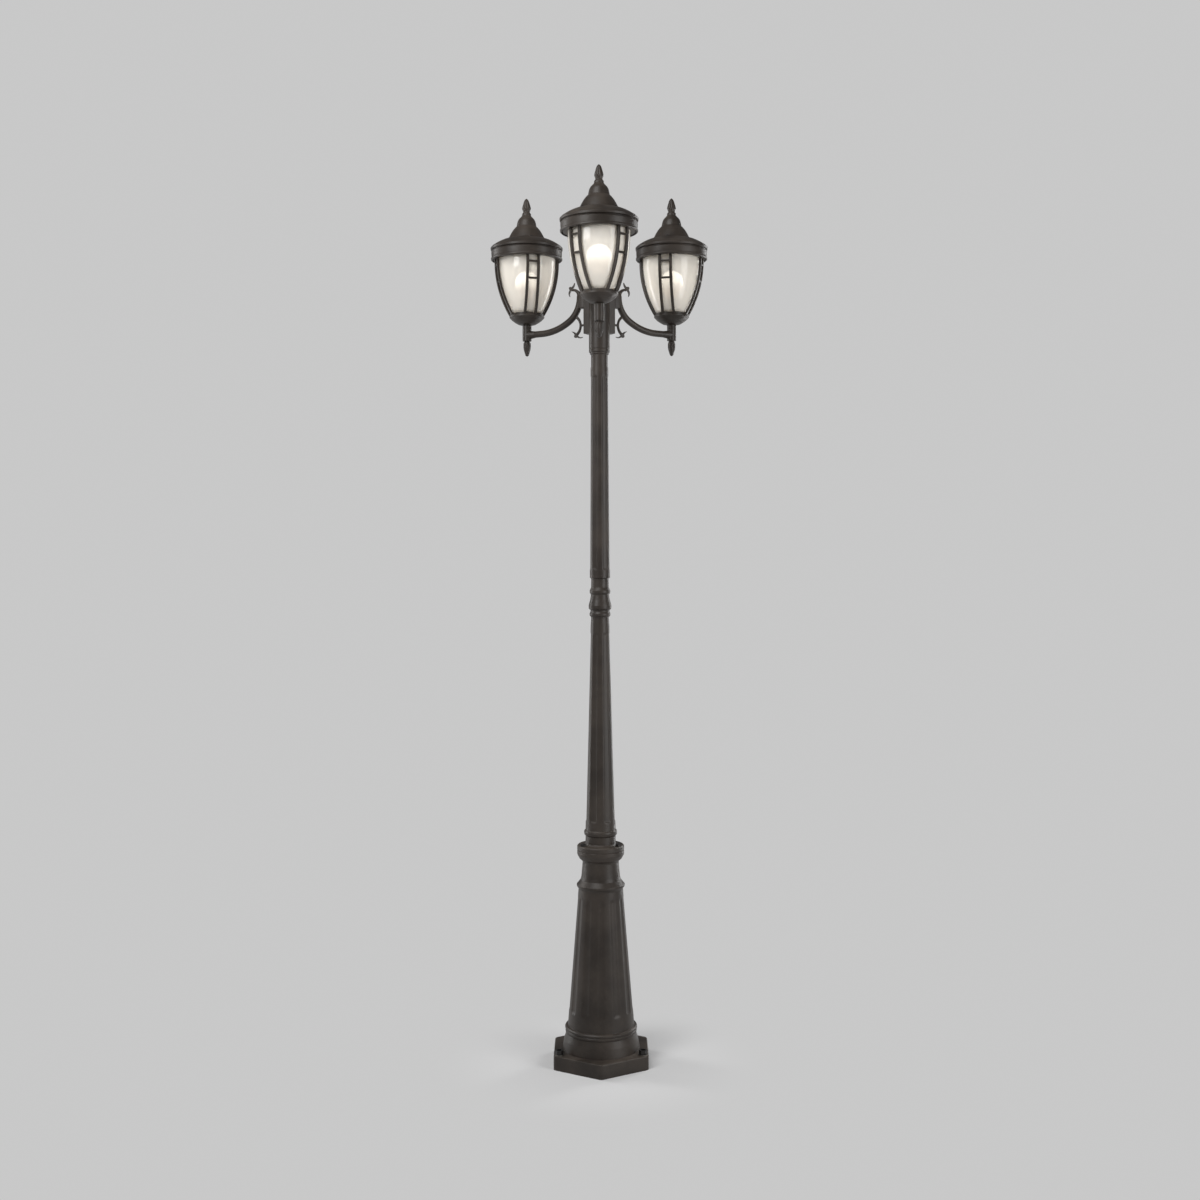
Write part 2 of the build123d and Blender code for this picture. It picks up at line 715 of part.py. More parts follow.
def make_dish():
    """Bowl under the lantern, with the glass's seat."""
    curve_z = dish_z + dish_depth
    outer = [
        (barrel_stem_radius + 2, dish_z),
        (0.56 * dish_radius, dish_z + 2.2),
        (0.8 * dish_radius, dish_z + 8),
        (0.93 * dish_radius, dish_z + 14),
        (dish_radius, curve_z - 0.5),
        (dish_radius, dish_rim_z - 1.2),
        (dish_radius - 1.2, dish_rim_z),
    ]
    seat_top = dish_z + dish_depth + dish_seat_height
    body = turned((0, dish_z), *outer, (dish_seat_radius, dish_rim_z), (dish_seat_radius, seat_top),
                  (dish_seat_radius - dish_wall, seat_top), (dish_seat_radius - dish_wall, dish_rim_z - 1),
                  (0, dish_rim_z - 1))
    inner = turned(
        (0, dish_z + dish_wall),
        (0.6 * locknut_across_flats, dish_z + dish_wall),
        (0.5 * dish_radius, dish_z + dish_wall + 1.6),
        (0.72 * dish_radius, dish_z + dish_wall + 8),
        (dish_seat_radius - dish_wall - 1.5, dish_rim_z - 3.5),
        (dish_seat_radius - dish_wall - 1.5, dish_rim_z),
        (0, dish_rim_z),
    )
    return body - inner - post(nipple_radius + nipple_clearance, dish_z - 1, dish_wall + 3)


def cage_arc(shift):
    """The ribs' curve moved inwards, as start, middle and end points, plus its straight top."""
    start = (cage_foot_radius - shift, cage_z)
    middle = (cage_middle_radius - 0.9 * shift, cage_z + cage_middle_share * cage_curve_height + 0.35 * shift)
    end = (cage_top_radius - shift, cage_z + cage_curve_height)
    top = (cage_top_radius - shift, cage_collar_z + 1)
    return start, middle, end, top


def cage_radius_at(height, shift=0.0):
    """Radius of the ribs' curve at a height above the cage's foot."""
    (x1, z1), (x2, z2), (x3, z3), _ = cage_arc(shift)
    height = min(height + cage_z, z3)
    d = 2 * (x1 * (z2 - z3) + x2 * (z3 - z1) + x3 * (z1 - z2))
    s1, s2, s3 = x1**2 + z1**2, x2**2 + z2**2, x3**2 + z3**2
    centre_x = (s1 * (z2 - z3) + s2 * (z3 - z1) + s3 * (z1 - z2)) / d
    centre_z = (s1 * (x3 - x2) + s2 * (x1 - x3) + s3 * (x2 - x1)) / d
    bend = hypot(x1 - centre_x, z1 - centre_z)
    return centre_x + sqrt(bend**2 - (height - centre_z)**2)


def make_cage():
    """Cage casting: foot ring, four pairs of curved ribs with crossbars, collar and roof lugs."""
    outer, inner = cage_arc(0.0), cage_arc(rib_depth)
    outline = [
        ThreePointArc(*outer[:3]), Line(outer[2], outer[3]), Line(outer[3], inner[3]),
        Line(inner[3], inner[2]), ThreePointArc(*inner[:3]), Line(inner[0], outer[0]),
    ]
    rib_face = Plane.XZ * make_face(Curve() + outline)
    rib = extrude(rib_face, rib_width / 2, both=True)
    pair = Pos(0, rib_pair_spacing / 2, 0) * rib + Pos(0, -rib_pair_spacing / 2, 0) * rib
    for height in crossbar_heights:
        bar = Pos(cage_radius_at(height) - 1.0, 0, cage_z + height) * Box(
            rib_depth - 2.0, rib_pair_spacing, crossbar_height, align=(Align.MAX, Align.CENTER, Align.CENTER))
        pair = pair + bar
    ring_low = post(cage_foot_radius + 0.8, cage_z, cage_ring_height)
    ring_low = ring_low - post(dish_seat_radius + 0.3, cage_z - 1, cage_ring_height + 2)
    collar = post(cage_collar_radius, cage_collar_z, cage_collar_height)
    collar = collar - post(cage_top_radius - rib_depth, cage_collar_z - 1, cage_collar_height + 2)
    cage = ring_low + collar
    for angle in rib_pair_angles:
        cage = cage + Rot(0, 0, angle) * pair
    lug_face = profile(
        (cage_top_radius - rib_depth + 2, cage_collar_z + cage_collar_height - lug_thickness),
        (cage_top_radius - rib_depth + 2, cage_collar_z + cage_collar_height),
        (roof_screw_circle_radius + 6, lug_top_z()),
        (roof_screw_circle_radius - 6, lug_top_z()),
        (roof_screw_circle_radius - 6, lug_top_z() - lug_thickness),
        (roof_screw_circle_radius + 4.5, lug_top_z() - lug_thickness),
    )
    lug = extrude(lug_face, lug_width / 2, both=True)
    hole = Pos(roof_screw_circle_radius, 0, 0) * post(roof_screw_radius + roof_screw_clearance, lug_top_z() - 10, 20)
    for angle in rib_pair_angles:
        cage = cage + Rot(0, 0, angle) * lug - Rot(0, 0, angle) * hole
    return cage


def roof_outline():
    """Outer (radius, height) points of the roof, from its lower edge to its top."""
    return [
        (roof_bead_radius - 1.2, roof_z),
        (roof_bead_radius, roof_z + 3),
        (roof_bead_radius, roof_z + roof_bead_height - 4),
        (roof_band_radius, roof_z + roof_bead_height - 1),
        (roof_band_radius, lip_z - 1),
        (roof_lip_radius, lip_z + 2),
        (roof_lip_radius, skirt_z - 5),
        (roof_lip_radius - 4, skirt_z),
        (0.5 * (roof_screw_circle_radius + roof_lip_radius), waist_z - 0.45 * roof_skirt_rise),
        (roof_screw_circle_radius + roof_screw_head_radius + 1, waist_z),
        (roof_screw_circle_radius - roof_screw_head_radius - 1, waist_z),
        (roof_shoulder_radius + 5, waist_z + 0.6 * roof_shoulder_rise),
        (roof_shoulder_radius, shoulder_z),
        (roof_shoulder_radius - 4, shoulder_z + 0.7 * roof_bell_step),
        (roof_bell_radius, shoulder_z + roof_bell_step),
        (roof_bell_radius - 1.5, shoulder_z + roof_bell_step + 0.38 * roof_bell_rise),
        (roof_bell_radius - 6.5, shoulder_z + roof_bell_step + 0.76 * roof_bell_rise),
        (finial_neck_radius + 2, roof_top_z),
    ]


def lug_top_z():
    """Height of the cage's roof lugs, just under the roof's inner face."""
    return waist_z - roof_wall - roof_boss_height


def make_roof():
    """Roof shell, with posts that stand on the cage's lugs."""
    outer = roof_outline()
    inner = inset(outer, roof_wall)
    inner[0] = (inner[0][0], roof_z)
    top_inner = inner[-1]
    shell = turned(*outer, (0, roof_top_z), (0, roof_top_z - roof_wall), (top_inner[0], roof_top_z - roof_wall),
                   *reversed(inner[:-1]))
    boss_top = waist_z - 0.5 * roof_wall
    boss = Pos(roof_screw_circle_radius, 0, 0) * post(roof_boss_radius, lug_top_z(), boss_top - lug_top_z())
    hole = Pos(roof_screw_circle_radius, 0, 0) * post(roof_screw_radius + roof_screw_clearance, lug_top_z() - 1, 30)
    for angle in rib_pair_angles:
        shell = shell + Rot(0, 0, angle) * boss
    for angle in rib_pair_angles:
        shell = shell - Rot(0, 0, angle) * hole
    return shell - post(finial_spigot_radius + 0.1, roof_top_z - 10, 20)


def make_roof_screws():
    """Round-head screws that hold the roof to the cage's lugs."""
    head_z = waist_z
    head = turned((0, head_z), (roof_screw_head_radius, head_z), (roof_screw_head_radius, head_z + 1),
                  (0.6 * roof_screw_head_radius, head_z + roof_screw_head_height),
                  (0, head_z + roof_screw_head_height))
    screw = head + post(roof_screw_radius, head_z - roof_screw_length, roof_screw_length + 0.5)
    return [polar(roof_screw_circle_radius, angle) * screw for angle in rib_pair_angles]


def make_roof_finial():
    """Bud-shaped finial with a short spigot in the roof's top."""
    low, tip = roof_top_z, finial_top_z
    body = turned(
        (0, low),
        (finial_neck_radius + 1.6, low),
        (finial_neck_radius + 0.6, low + 3),
        (finial_radius - 0.4, low + 6),
        (finial_radius - 0.4, low + 9),
        (finial_neck_radius, low + 12),
        (finial_neck_radius, low + 15),
        (finial_radius - 0.6, low + 20),
        (finial_radius, low + 23.5),
        (0.8 * finial_radius, low + 31),
        (0.5 * finial_radius, low + 38.5),
        (0.22 * finial_radius, tip - 1.5),
        (0, tip),
    )
    return body + post(finial_spigot_radius, low - finial_spigot_length, finial_spigot_length + 1)


def make_glass():
    """Frosted glass goblet between the dish and the cage's collar."""
    shift = rib_depth + glass_gap
    floor_z = dish_rim_z - 1
    seat_top = dish_z + dish_depth + dish_seat_height
    low = (cage_radius_at(seat_top + 6 - cage_z, shift), seat_top + 6)
    middle_height = 0.5 * cage_curve_height
    middle = (cage_radius_at(middle_height, shift), cage_z + middle_height)
    high = (cage_top_radius - shift, cage_z + cage_curve_height)
    top = (high[0], cage_collar_z + 3)

    def thin(point):
        """The same point one wall further in."""
        return (point[0] - glass_wall, point[1])

    return turned_lines(
        Line((glass_floor_radius - glass_wall, floor_z), (glass_floor_radius, floor_z)),
        Line((glass_floor_radius, floor_z), (glass_floor_radius, seat_top + 1)),
        Line((glass_floor_radius, seat_top + 1), low),
        ThreePointArc(low, middle, high),
        Line(high, top),
        Line(top, thin(top)),
        Line(thin(top), thin(high)),
        ThreePointArc(thin(high), thin(middle), thin(low)),
        Line(thin(low), (glass_floor_radius - glass_wall, seat_top + 1)),
        Line((glass_floor_radius - glass_wall, seat_top + 1), (glass_floor_radius - glass_wall, floor_z)),
    )


def holder_low_z():
    """Underside of the lampholder's bracket, on the nipple's lock nut."""
    return dish_z + dish_wall + locknut_height


def make_lampholder():
    """Screw lampholder on a short foot."""
    low = holder_low_z()
    top = low + holder_leg_height + holder_height
    bore = cap_radius + cap_clearance
    body = turned(
        (nipple_radius + nipple_clearance, low),
        (0.8 * holder_radius, low),
        (0.8 * holder_radius, low + holder_leg_height),
        (holder_radius, low + holder_leg_height + 2),
        (holder_radius, top - 12),
        (0.94 * holder_radius, top - 11),
        (0.94 * holder_radius, top),
        (bore, top),
        (bore, low + holder_leg_height + holder_floor),
        (nipple_radius + nipple_clearance, low + holder_leg_height + holder_floor),
    )
    contact_floor = low + nipple_above_nut + 3
    plug = post(nipple_radius + nipple_clearance + 1, contact_floor,
                low + holder_leg_height + holder_floor - contact_floor)
    return body + plug


def cap_z():
    """Underside of the bulb's cap in its holder."""
    return holder_low_z() + holder_leg_height + holder_floor + cap_clearance


def make_bulb_cap():
    """Screw cap of the bulb."""
    low = cap_z()
    return turned(
        (0, low),
        (4.5, low),
        (5.5, low + 2),
        (cap_radius - 1.5, low + 6),
        (cap_radius, low + 8),
        (cap_radius, low + cap_length),
        (0, low + cap_length),
    )


def make_bulb_glass():
    """Pear-shaped bulb that stands on its cap."""
    low = cap_z() + cap_length
    centre = low + bulb_height - bulb_radius
    touch_angle = asin((centre - low - 16) / bulb_radius / 1.35)
    touch = (bulb_radius * cos(touch_angle), centre - bulb_radius * sin(touch_angle))
    return turned_lines(
        Line((0, low), (bulb_neck_radius - 1, low)),
        Line((bulb_neck_radius - 1, low), (bulb_neck_radius, low + 14)),
        Line((bulb_neck_radius, low + 14), touch),
        ThreePointArc(touch, (bulb_radius, centre), (0, centre + bulb_radius)),
        Line((0, centre + bulb_radius), (0, low)),
    )


def write(name, shape):
    """Write one node's solids to its STEP file."""
    solids = []
    for item in shape if isinstance(shape, list) else [shape]:
        solids.extend(item.solids())
    whole = solids[0] if len(solids) == 1 else Compound(children=solids)
    export_step(whole, f"parts/{name}.step")


os.makedirs("parts", exist_ok=True)

write("base_casting", make_base())
write("anchor_washers", make_anchor_washers())
write("anchor_nuts", make_anchor_nuts())
write("flange_bolts", make_flange_bolts())
write("lower_post", make_lower_post())
write("joining_tube", make_joining_tube())
write("knop_ring", make_knop())
write("upper_post", make_upper_post())
write("hub_casting", make_hub())
write("hub_set_screws", make_set_screws())
write("hub_cap", make_hub_cap())
write("terminal_block", make_terminal_block())

arm_shape = make_arm()
lantern_pieces = {
    "drop_finial": make_drop_finial(),
    "threaded_tube": make_nipple(),
    "lock_nut": make_locknut(),
    "dish": make_dish(),
    "cage": make_cage(),
    "glass": make_glass(),
    "roof": make_roof(),
    "roof_screws": make_roof_screws(),
    "roof_finial": make_roof_finial(),
    "lampholder": make_lampholder(),
    "bulb_cap": make_bulb_cap(),
    "bulb_glass": make_bulb_glass(),
}
for side, angle in arm_angles.items():
    write(f"arm_{side}", Rot(0, 0, angle) * arm_shape)
    place = polar(arm_reach, angle)
    for piece_name, piece in lantern_pieces.items():
        placed = [place * item for item in piece] if isinstance(piece, list) else place * piece
        write(f"{piece_name}_{side}", placed)
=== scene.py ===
"""Garden lamp post with three lanterns: the shapes and finishes that show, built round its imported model.

Lengths are metres in the model's own frame: +Z up the post, and the front arm along -Y.
"""

from __future__ import annotations

import json
import logging
import math
from dataclasses import dataclass, field
from enum import Enum
from typing import Any, Iterable, Sequence

import bmesh
import bpy
from mathutils import Matrix, Vector

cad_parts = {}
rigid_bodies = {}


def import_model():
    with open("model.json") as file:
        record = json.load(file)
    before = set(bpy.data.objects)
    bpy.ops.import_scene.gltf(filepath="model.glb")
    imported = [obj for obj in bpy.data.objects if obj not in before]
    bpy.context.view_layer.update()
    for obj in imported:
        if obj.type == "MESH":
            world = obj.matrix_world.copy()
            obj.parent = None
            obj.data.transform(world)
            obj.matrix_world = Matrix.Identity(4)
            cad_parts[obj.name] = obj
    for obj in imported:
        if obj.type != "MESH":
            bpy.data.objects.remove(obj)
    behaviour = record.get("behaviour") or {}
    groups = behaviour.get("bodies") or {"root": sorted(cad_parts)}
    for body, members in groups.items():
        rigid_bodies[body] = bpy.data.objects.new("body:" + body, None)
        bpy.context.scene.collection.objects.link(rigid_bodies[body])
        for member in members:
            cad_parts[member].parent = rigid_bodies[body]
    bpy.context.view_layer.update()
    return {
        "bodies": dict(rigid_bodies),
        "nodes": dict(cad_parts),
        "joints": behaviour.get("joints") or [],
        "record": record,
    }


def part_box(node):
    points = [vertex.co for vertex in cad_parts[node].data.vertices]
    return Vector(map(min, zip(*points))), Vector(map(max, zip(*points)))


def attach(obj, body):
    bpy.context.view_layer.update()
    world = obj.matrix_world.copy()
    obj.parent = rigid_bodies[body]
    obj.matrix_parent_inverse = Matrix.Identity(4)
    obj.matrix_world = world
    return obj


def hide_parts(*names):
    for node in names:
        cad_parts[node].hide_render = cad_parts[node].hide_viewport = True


LOG = logging.getLogger("lamp_post")
MM = 0.001
FINE_ROW = 1.6 * MM
FINE_ROWS = 9
SHARP = 38.0
STRAIGHT = math.radians(4)
CREASE = math.radians(60)
AXIS = 1e-5
FLUTE_GUARD = 30 * MM
FLUTE_LANE = 1 / 3
FLUTE_EASE = 1.3

Point = tuple[float, float]
Colour = tuple[float, float, float, float]


# ---------------------------------------------------------------- shader sheets
def linear(red: float, green: float, blue: float) -> Colour:
    """Turn a colour written as 0 to 255 screen values into the linear one that a shader takes."""
    return tuple(((v / 255 + 0.055) / 1.055) ** 2.4 for v in (red, green, blue)) + (1.0,)


class Value:
    """A number that a shader works out, which Python's own operators build on."""

    def __init__(self, sheet: "Sheet", socket: bpy.types.NodeSocket) -> None:
        """Wrap one output socket.

        Args:
            sheet: The sheet that the socket's node is on.
            socket: The output that holds the number.
        """
        self.sheet = sheet
        self.socket = socket

    def _maths(self, operation: str, *values: Any) -> "Value":
        """Add one Math node.

        Args:
            operation: The Math node's operation.
            values: Its inputs in order, as numbers or values.

        Returns:
            The node's result.
        """
        node = self.sheet.node("ShaderNodeMath", {"operation": operation}, dict(enumerate(values)))
        return Value(self.sheet, node.outputs[0])

    def __add__(self, other: Any) -> "Value":
        """Add."""
        return self._maths("ADD", self, other)

    __radd__ = __add__

    def __mul__(self, other: Any) -> "Value":
        """Multiply."""
        return self._maths("MULTIPLY", self, other)

    __rmul__ = __mul__

    def at_most(self, other: Any) -> "Value":
        """The smaller of two."""
        return self._maths("MINIMUM", self, other)

    def rise(self, low: float, high: float, start: float = 0.0, end: float = 1.0) -> "Value":
        """A smooth step.

        Args:
            low: The number at which the step starts.
            high: The number at which it ends.
            start: The result below the step.
            end: The result above it.

        Returns:
            The stepped value.
        """
        node = self.sheet.node(
            "ShaderNodeMapRange",
            {"interpolation_type": "SMOOTHSTEP"},
            {"Value": self, "From Min": low, "From Max": high, "To Min": start, "To Max": end},
        )
        return Value(self.sheet, node.outputs[0])


class Sheet:
    """The nodes of one material or of the world."""

    def __init__(self, tree: bpy.types.NodeTree) -> None:
        """Start on an empty tree.

        Args:
            tree: The node tree, whose nodes are cleared.
        """
        self.tree = tree
        tree.nodes.clear()

    def node(self, kind: str, settings: dict[str, Any] | None = None,
             inputs: dict[Any, Any] | None = None) -> bpy.types.Node:
        """Add one node.

        Args:
            kind: The node's type.
            settings: Its properties, which are set first.
            inputs: Its sockets by name or number, each a number, a colour, a value or an output socket.

        Returns:
            The new node.
        """
        made = self.tree.nodes.new(kind)
        for name, setting in (settings or {}).items():
            setattr(made, name, setting)
        for name, given in (inputs or {}).items():
            if isinstance(given, Value):
                given = given.socket
            if isinstance(given, bpy.types.NodeSocket):
                self.tree.links.new(given, made.inputs[name])
            else:
                made.inputs[name].default_value = given
        return made

    def place(self) -> bpy.types.NodeSocket:
        """The point on the surface, in the object's own coordinates."""
        return self.node("ShaderNodeTexCoord").outputs["Object"]

    def noise(self, scale: float, detail: float = 2.0, roughness: float = 0.5,
              stretch: tuple[float, float, float] = (1.0, 1.0, 1.0)) -> Value:
        """Soft random patches.

        Args:
            scale: How many patches fit in a metre.
            detail: How many finer layers are added.
            roughness: How strong the finer layers are.
            stretch: Scale along each axis, for drawn or run patterns.

        Returns:
            A number about 0.5 that changes over the surface.
        """
        mapped = self.node("ShaderNodeMapping", None, {"Vector": self.place(), "Scale": stretch})
        found = self.node("ShaderNodeTexNoise", None, {
            "Vector": mapped.outputs[0], "Scale": scale, "Detail": detail, "Roughness": roughness})
        return Value(self, found.outputs[0])

    def blend(self, share: Any, first: Any, second: Any) -> bpy.types.NodeSocket:
        """Mix two colours.

        Args:
            share: How much of the second colour, from 0 to 1.
            first: The colour at 0.
            second: The colour at 1.

        Returns:
            The mixed colour's socket.
        """
        mixed = self.node("ShaderNodeMix", {"data_type": "RGBA"}, {0: share, 6: first, 7: second})
        return mixed.outputs[2]

    def bump(self, height: Value, strength: float, distance: float) -> bpy.types.NodeSocket:
        """Turn a height into a surface normal.

        Args:
            height: The height pattern.
            strength: How much of it is used.
            distance: Height of a full step, in metres.

        Returns:
            The normal's socket.
        """
        made = self.node("ShaderNodeBump", None, {"Height": height, "Strength": strength, "Distance": distance})
        return made.outputs[0]

    def facing_up(self) -> Value:
        """How far the surface faces upwards, from -1 to 1."""
        return self.upward(self.node("ShaderNodeTexCoord").outputs["Normal"])

    def upward(self, vector: bpy.types.NodeSocket) -> Value:
        """The Z part of a vector."""
        return Value(self, self.node("ShaderNodeSeparateXYZ", None, {0: vector}).outputs[2])

    def rays(self, *kinds: str) -> Value:
        """Tell some kinds of ray from the others.

        Args:
            kinds: The Light Path node's outputs that count.

        Returns:
            1 for those rays and 0 for the others.
        """
        path = self.node("ShaderNodeLightPath")
        total = Value(self, path.outputs[kinds[0]])
        for kind in kinds[1:]:
            total = total + Value(self, path.outputs[kind])
        return total.at_most(1.0)

    def mix(self, share: Value, first: bpy.types.Node, second: bpy.types.Node) -> bpy.types.NodeSocket:
        """Mix two shaders.

        Args:
            share: How much of the second shader, from 0 to 1.
            first: The shader at 0.
            second: The shader at 1.

        Returns:
            The mixed shader's socket.
        """
        shaders = {0: share, 1: first.outputs[0], 2: second.outputs[0]}
        return self.node("ShaderNodeMixShader", None, shaders).outputs[0]

    def finish(self, shader: bpy.types.NodeSocket) -> None:
        """Send the last shader to the surface."""
        self.node("ShaderNodeOutputMaterial", None, {"Surface": shader})


@dataclass(frozen=True)
class Finish:
    """What every finish has: a name, and a material made from its own sheet."""

    name: str

    def material(self) -> bpy.types.Material:
        """Make the material, or return the one made before."""
        known = bpy.data.materials.get(self.name)
        if known is not None:
            return known
        made = bpy.data.materials.new(self.name)
        made.use_nodes = True
        sheet = Sheet(made.node_tree)
        sheet.finish(self.shader(sheet))
        return made

    def shader(self, sheet: Sheet) -> bpy.types.NodeSocket:
        """Lay out the shader.

        Args:
            sheet: The sheet to add nodes to.

        Returns:
            The shader's output socket.
        """
        raise NotImplementedError


@dataclass(frozen=True)
class OutdoorPaint(Finish):
    """Dark bronze-grey stove paint on cast metal, slightly pebbled, with thin dust where it faces up."""

    colour: Colour = linear(58, 51, 45)
    dust: Colour = linear(116, 106, 96)
    deep: Colour = linear(38, 32, 27)
    gloss: float = 0.42
    pebble: float = 900.0
    cast: float = 60.0
    dust_share: float = 0.3
    pebble_height: float = 0.00006
    cast_height: float = 0.0005
    speck_share: float = 0.18
    specular: float = 0.34
    coat: float = 0.06
    coat_roughness: float = 0.3

    def shader(self, sheet: Sheet) -> bpy.types.NodeSocket:
        """Lay out the paint: see the class.

        Args:
            sheet: The sheet to add nodes to.

        Returns:
            The shader's output socket.
        """
        pebbles = sheet.noise(self.pebble, 3.0, 0.55)
        swell = sheet.noise(self.cast, 2.0)
        patches = sheet.noise(9.0, 4.0, 0.6)
        specks = sheet.noise(420.0, 2.0).rise(0.66, 0.74)
        settled = sheet.facing_up().rise(0.35, 0.95) * patches.rise(0.3, 0.75)
        shaded = sheet.blend(patches.rise(0.32, 0.7), self.deep, self.colour)
        dusty = sheet.blend(settled * self.dust_share, shaded, self.dust)
        speckled = sheet.blend(specks * self.speck_share, dusty, self.dust)
        rough = patches.rise(0.3, 0.7, self.gloss - 0.04, self.gloss + 0.06) + settled * 0.08 + pebbles * 0.05
        normal = sheet.bump(swell * (self.cast_height / self.pebble_height) + pebbles, 0.5, self.pebble_height)
        surface = sheet.node("ShaderNodeBsdfPrincipled", None, {
            "Base Color": speckled, "Roughness": rough, "Metallic": 0.0, "Normal": normal,
            "Specular IOR Level": self.specular, "Coat Weight": self.coat, "Coat Roughness": self.coat_roughness})
        return surface.outputs[0]


@dataclass(frozen=True)
class FrostedGlass(Finish):
    """Glass frosted on its inside, which spreads the bulb's light; its colour is darker near both ends, a painted
    shade that stands in for the bulb's glow falling off there.
    """

    colour: Colour = linear(244, 244, 242)
    scatter: Colour = linear(240, 240, 237)
    # painted shade: the darker colour at the glass's ends, standing in for the bulb's glow fading towards them
    ends: Colour = linear(176, 172, 162)
    roughness: float = 0.92
    scatter_share: float = 0.3
    bend: float = 1.5
    glass_low: float = 1.9
    glass_high: float = 2.05

    def shader(self, sheet: Sheet) -> bpy.types.NodeSocket:
        """Lay out the glass: see the class.

        Args:
            sheet: The sheet to add nodes to.

        Returns:
            The shader's output socket.
        """
        grain = sheet.noise(1400.0, 2.0)
        cloud = sheet.noise(28.0, 3.0)
        rough = cloud.rise(0.3, 0.7, self.roughness - 0.03, self.roughness + 0.05)
        normal = sheet.bump(grain, 0.25, 0.00004)
        height = sheet.upward(sheet.place())
        tall = self.glass_high - self.glass_low
        # painted shade: share of the bright colour, full at the bulb's height and falling off towards both ends of
        # the glass
        lit = height.rise(self.glass_low, self.glass_low + 0.5 * tall)
        lit = lit * height.rise(self.glass_high - 0.24 * tall, self.glass_high, 1.0, 0.35)
        clear = sheet.node("ShaderNodeBsdfPrincipled", None, {
            "Base Color": sheet.blend(lit, self.ends, self.colour), "Roughness": rough, "IOR": self.bend,
            "Transmission Weight": 1.0, "Normal": normal})
        milky = sheet.node("ShaderNodeBsdfTranslucent", None, {"Color": self.scatter, "Normal": normal})
        share = cloud.rise(0.25, 0.75, self.scatter_share - 0.04, self.scatter_share + 0.04)
        return sheet.mix(share, clear, milky)


@dataclass(frozen=True)
class LitBulb(Finish):
    """Opal bulb, switched on: brightest over its round end, dimmer down its neck."""

    bulb_top: float = 2.0
    bulb_low: float = 1.9
    colour: Colour = linear(255, 246, 230)
    dim: Colour = linear(70, 44, 20)
    opal: Colour = linear(236, 232, 222)
    strength: float = 3.4

    def shader(self, sheet: Sheet) -> bpy.types.NodeSocket:
        """Lay out the bulb: see the class.

        Args:
            sheet: The sheet to add nodes to.

        Returns:
            The shader's output socket.
        """
        height = sheet.upward(sheet.place())
        tall = self.bulb_top - self.bulb_low
        lit = height.rise(self.bulb_low + 0.3 * tall, self.bulb_low + 0.75 * tall, 0.06, 1.0)
        glow = sheet.blend(lit, self.dim, self.colour)
        cloud = sheet.noise(120.0, 2.0)
        surface = sheet.node("ShaderNodeBsdfPrincipled", None, {
            "Base Color": self.opal, "Roughness": cloud.rise(0.3, 0.7, 0.22, 0.3),
            "Emission Color": glow, "Emission Strength": self.strength})
        return surface.outputs[0]


@dataclass(frozen=True)
class PlainMetal(Finish):
    """Bare, plated or blackened metal with drawn lines and faint stains."""

    colour: Colour = linear(150, 150, 152)
    stain: Colour = linear(96, 92, 88)
    metallic: float = 1.0
    roughness: float = 0.36
    stretch: tuple[float, float, float] = (1.0, 1.0, 0.08)

    def shader(self, sheet: Sheet) -> bpy.types.NodeSocket:
        """Lay out the metal: see the class.

        Args:
            sheet: The sheet to add nodes to.

        Returns:
            The shader's output socket.
        """
        lines = sheet.noise(1600.0, 3.0, 0.6, self.stretch)
        stains = sheet.noise(90.0, 4.0, 0.65)
        tint = sheet.blend(stains.rise(0.5, 0.75) * 0.6, self.colour, self.stain)
        rough = lines.rise(0.3, 0.7, self.roughness - 0.05, self.roughness + 0.07) + stains.rise(0.5, 0.8) * 0.12
        surface = sheet.node("ShaderNodeBsdfPrincipled", None, {
            "Base Color": tint, "Metallic": self.metallic, "Roughness": rough,
            "Normal": sheet.bump(lines, 0.3, 0.00003)})
        return surface.outputs[0]


@dataclass(frozen=True)
class Mineral(Finish):
    """White ceramic or nylon with faint mottling and a fine grain."""

    colour: Colour = linear(228, 225, 216)
    shade: Colour = linear(206, 200, 188)
    roughness: float = 0.5
    grain: float = 700.0

    def shader(self, sheet: Sheet) -> bpy.types.NodeSocket:
        """Lay out the surface: see the class.

        Args:
            sheet: The sheet to add nodes to.

        Returns:
            The shader's output socket.
        """
        grain = sheet.noise(self.grain, 3.0)
        mottle = sheet.noise(60.0, 3.0)
        tint = sheet.blend(mottle.rise(0.4, 0.7), self.colour, self.shade)
        surface = sheet.node("ShaderNodeBsdfPrincipled", None, {
            "Base Color": tint, "Roughness": grain.rise(0.3, 0.7, self.roughness - 0.06, self.roughness + 0.08),
            "Normal": sheet.bump(grain, 0.3, 0.00004)})
        return surface.outputs[0]


@dataclass(frozen=True)
class StudioFloor(Finish):
    """Pale floor that shows the foot's shadow and runs into the plain background."""

    colour: Colour = linear(200, 200, 200)
    lit: Colour = linear(221, 221, 221)
    near: float = 0.16
    far: float = 0.42
    shadow_share: float = 0.92

    def shader(self, sheet: Sheet) -> bpy.types.NodeSocket:
        """Lay out the floor: see the class.

        Args:
            sheet: The sheet to add nodes to.

        Returns:
            The shader's output socket.
        """
        length = sheet.node("ShaderNodeVectorMath", {"operation": "LENGTH"}, {0: sheet.place()})
        away = Value(sheet, length.outputs["Value"]).rise(self.near, self.far)
        seen = sheet.rays("Is Camera Ray", "Is Glossy Ray", "Is Transmission Ray")
        matt = sheet.node("ShaderNodeBsdfDiffuse", None, {"Color": self.lit})
        plain = sheet.node("ShaderNodeEmission", None, {"Color": self.colour})
        even = (away * self.shadow_share + (1.0 - self.shadow_share)) * seen
        return sheet.mix(even, matt, plain)


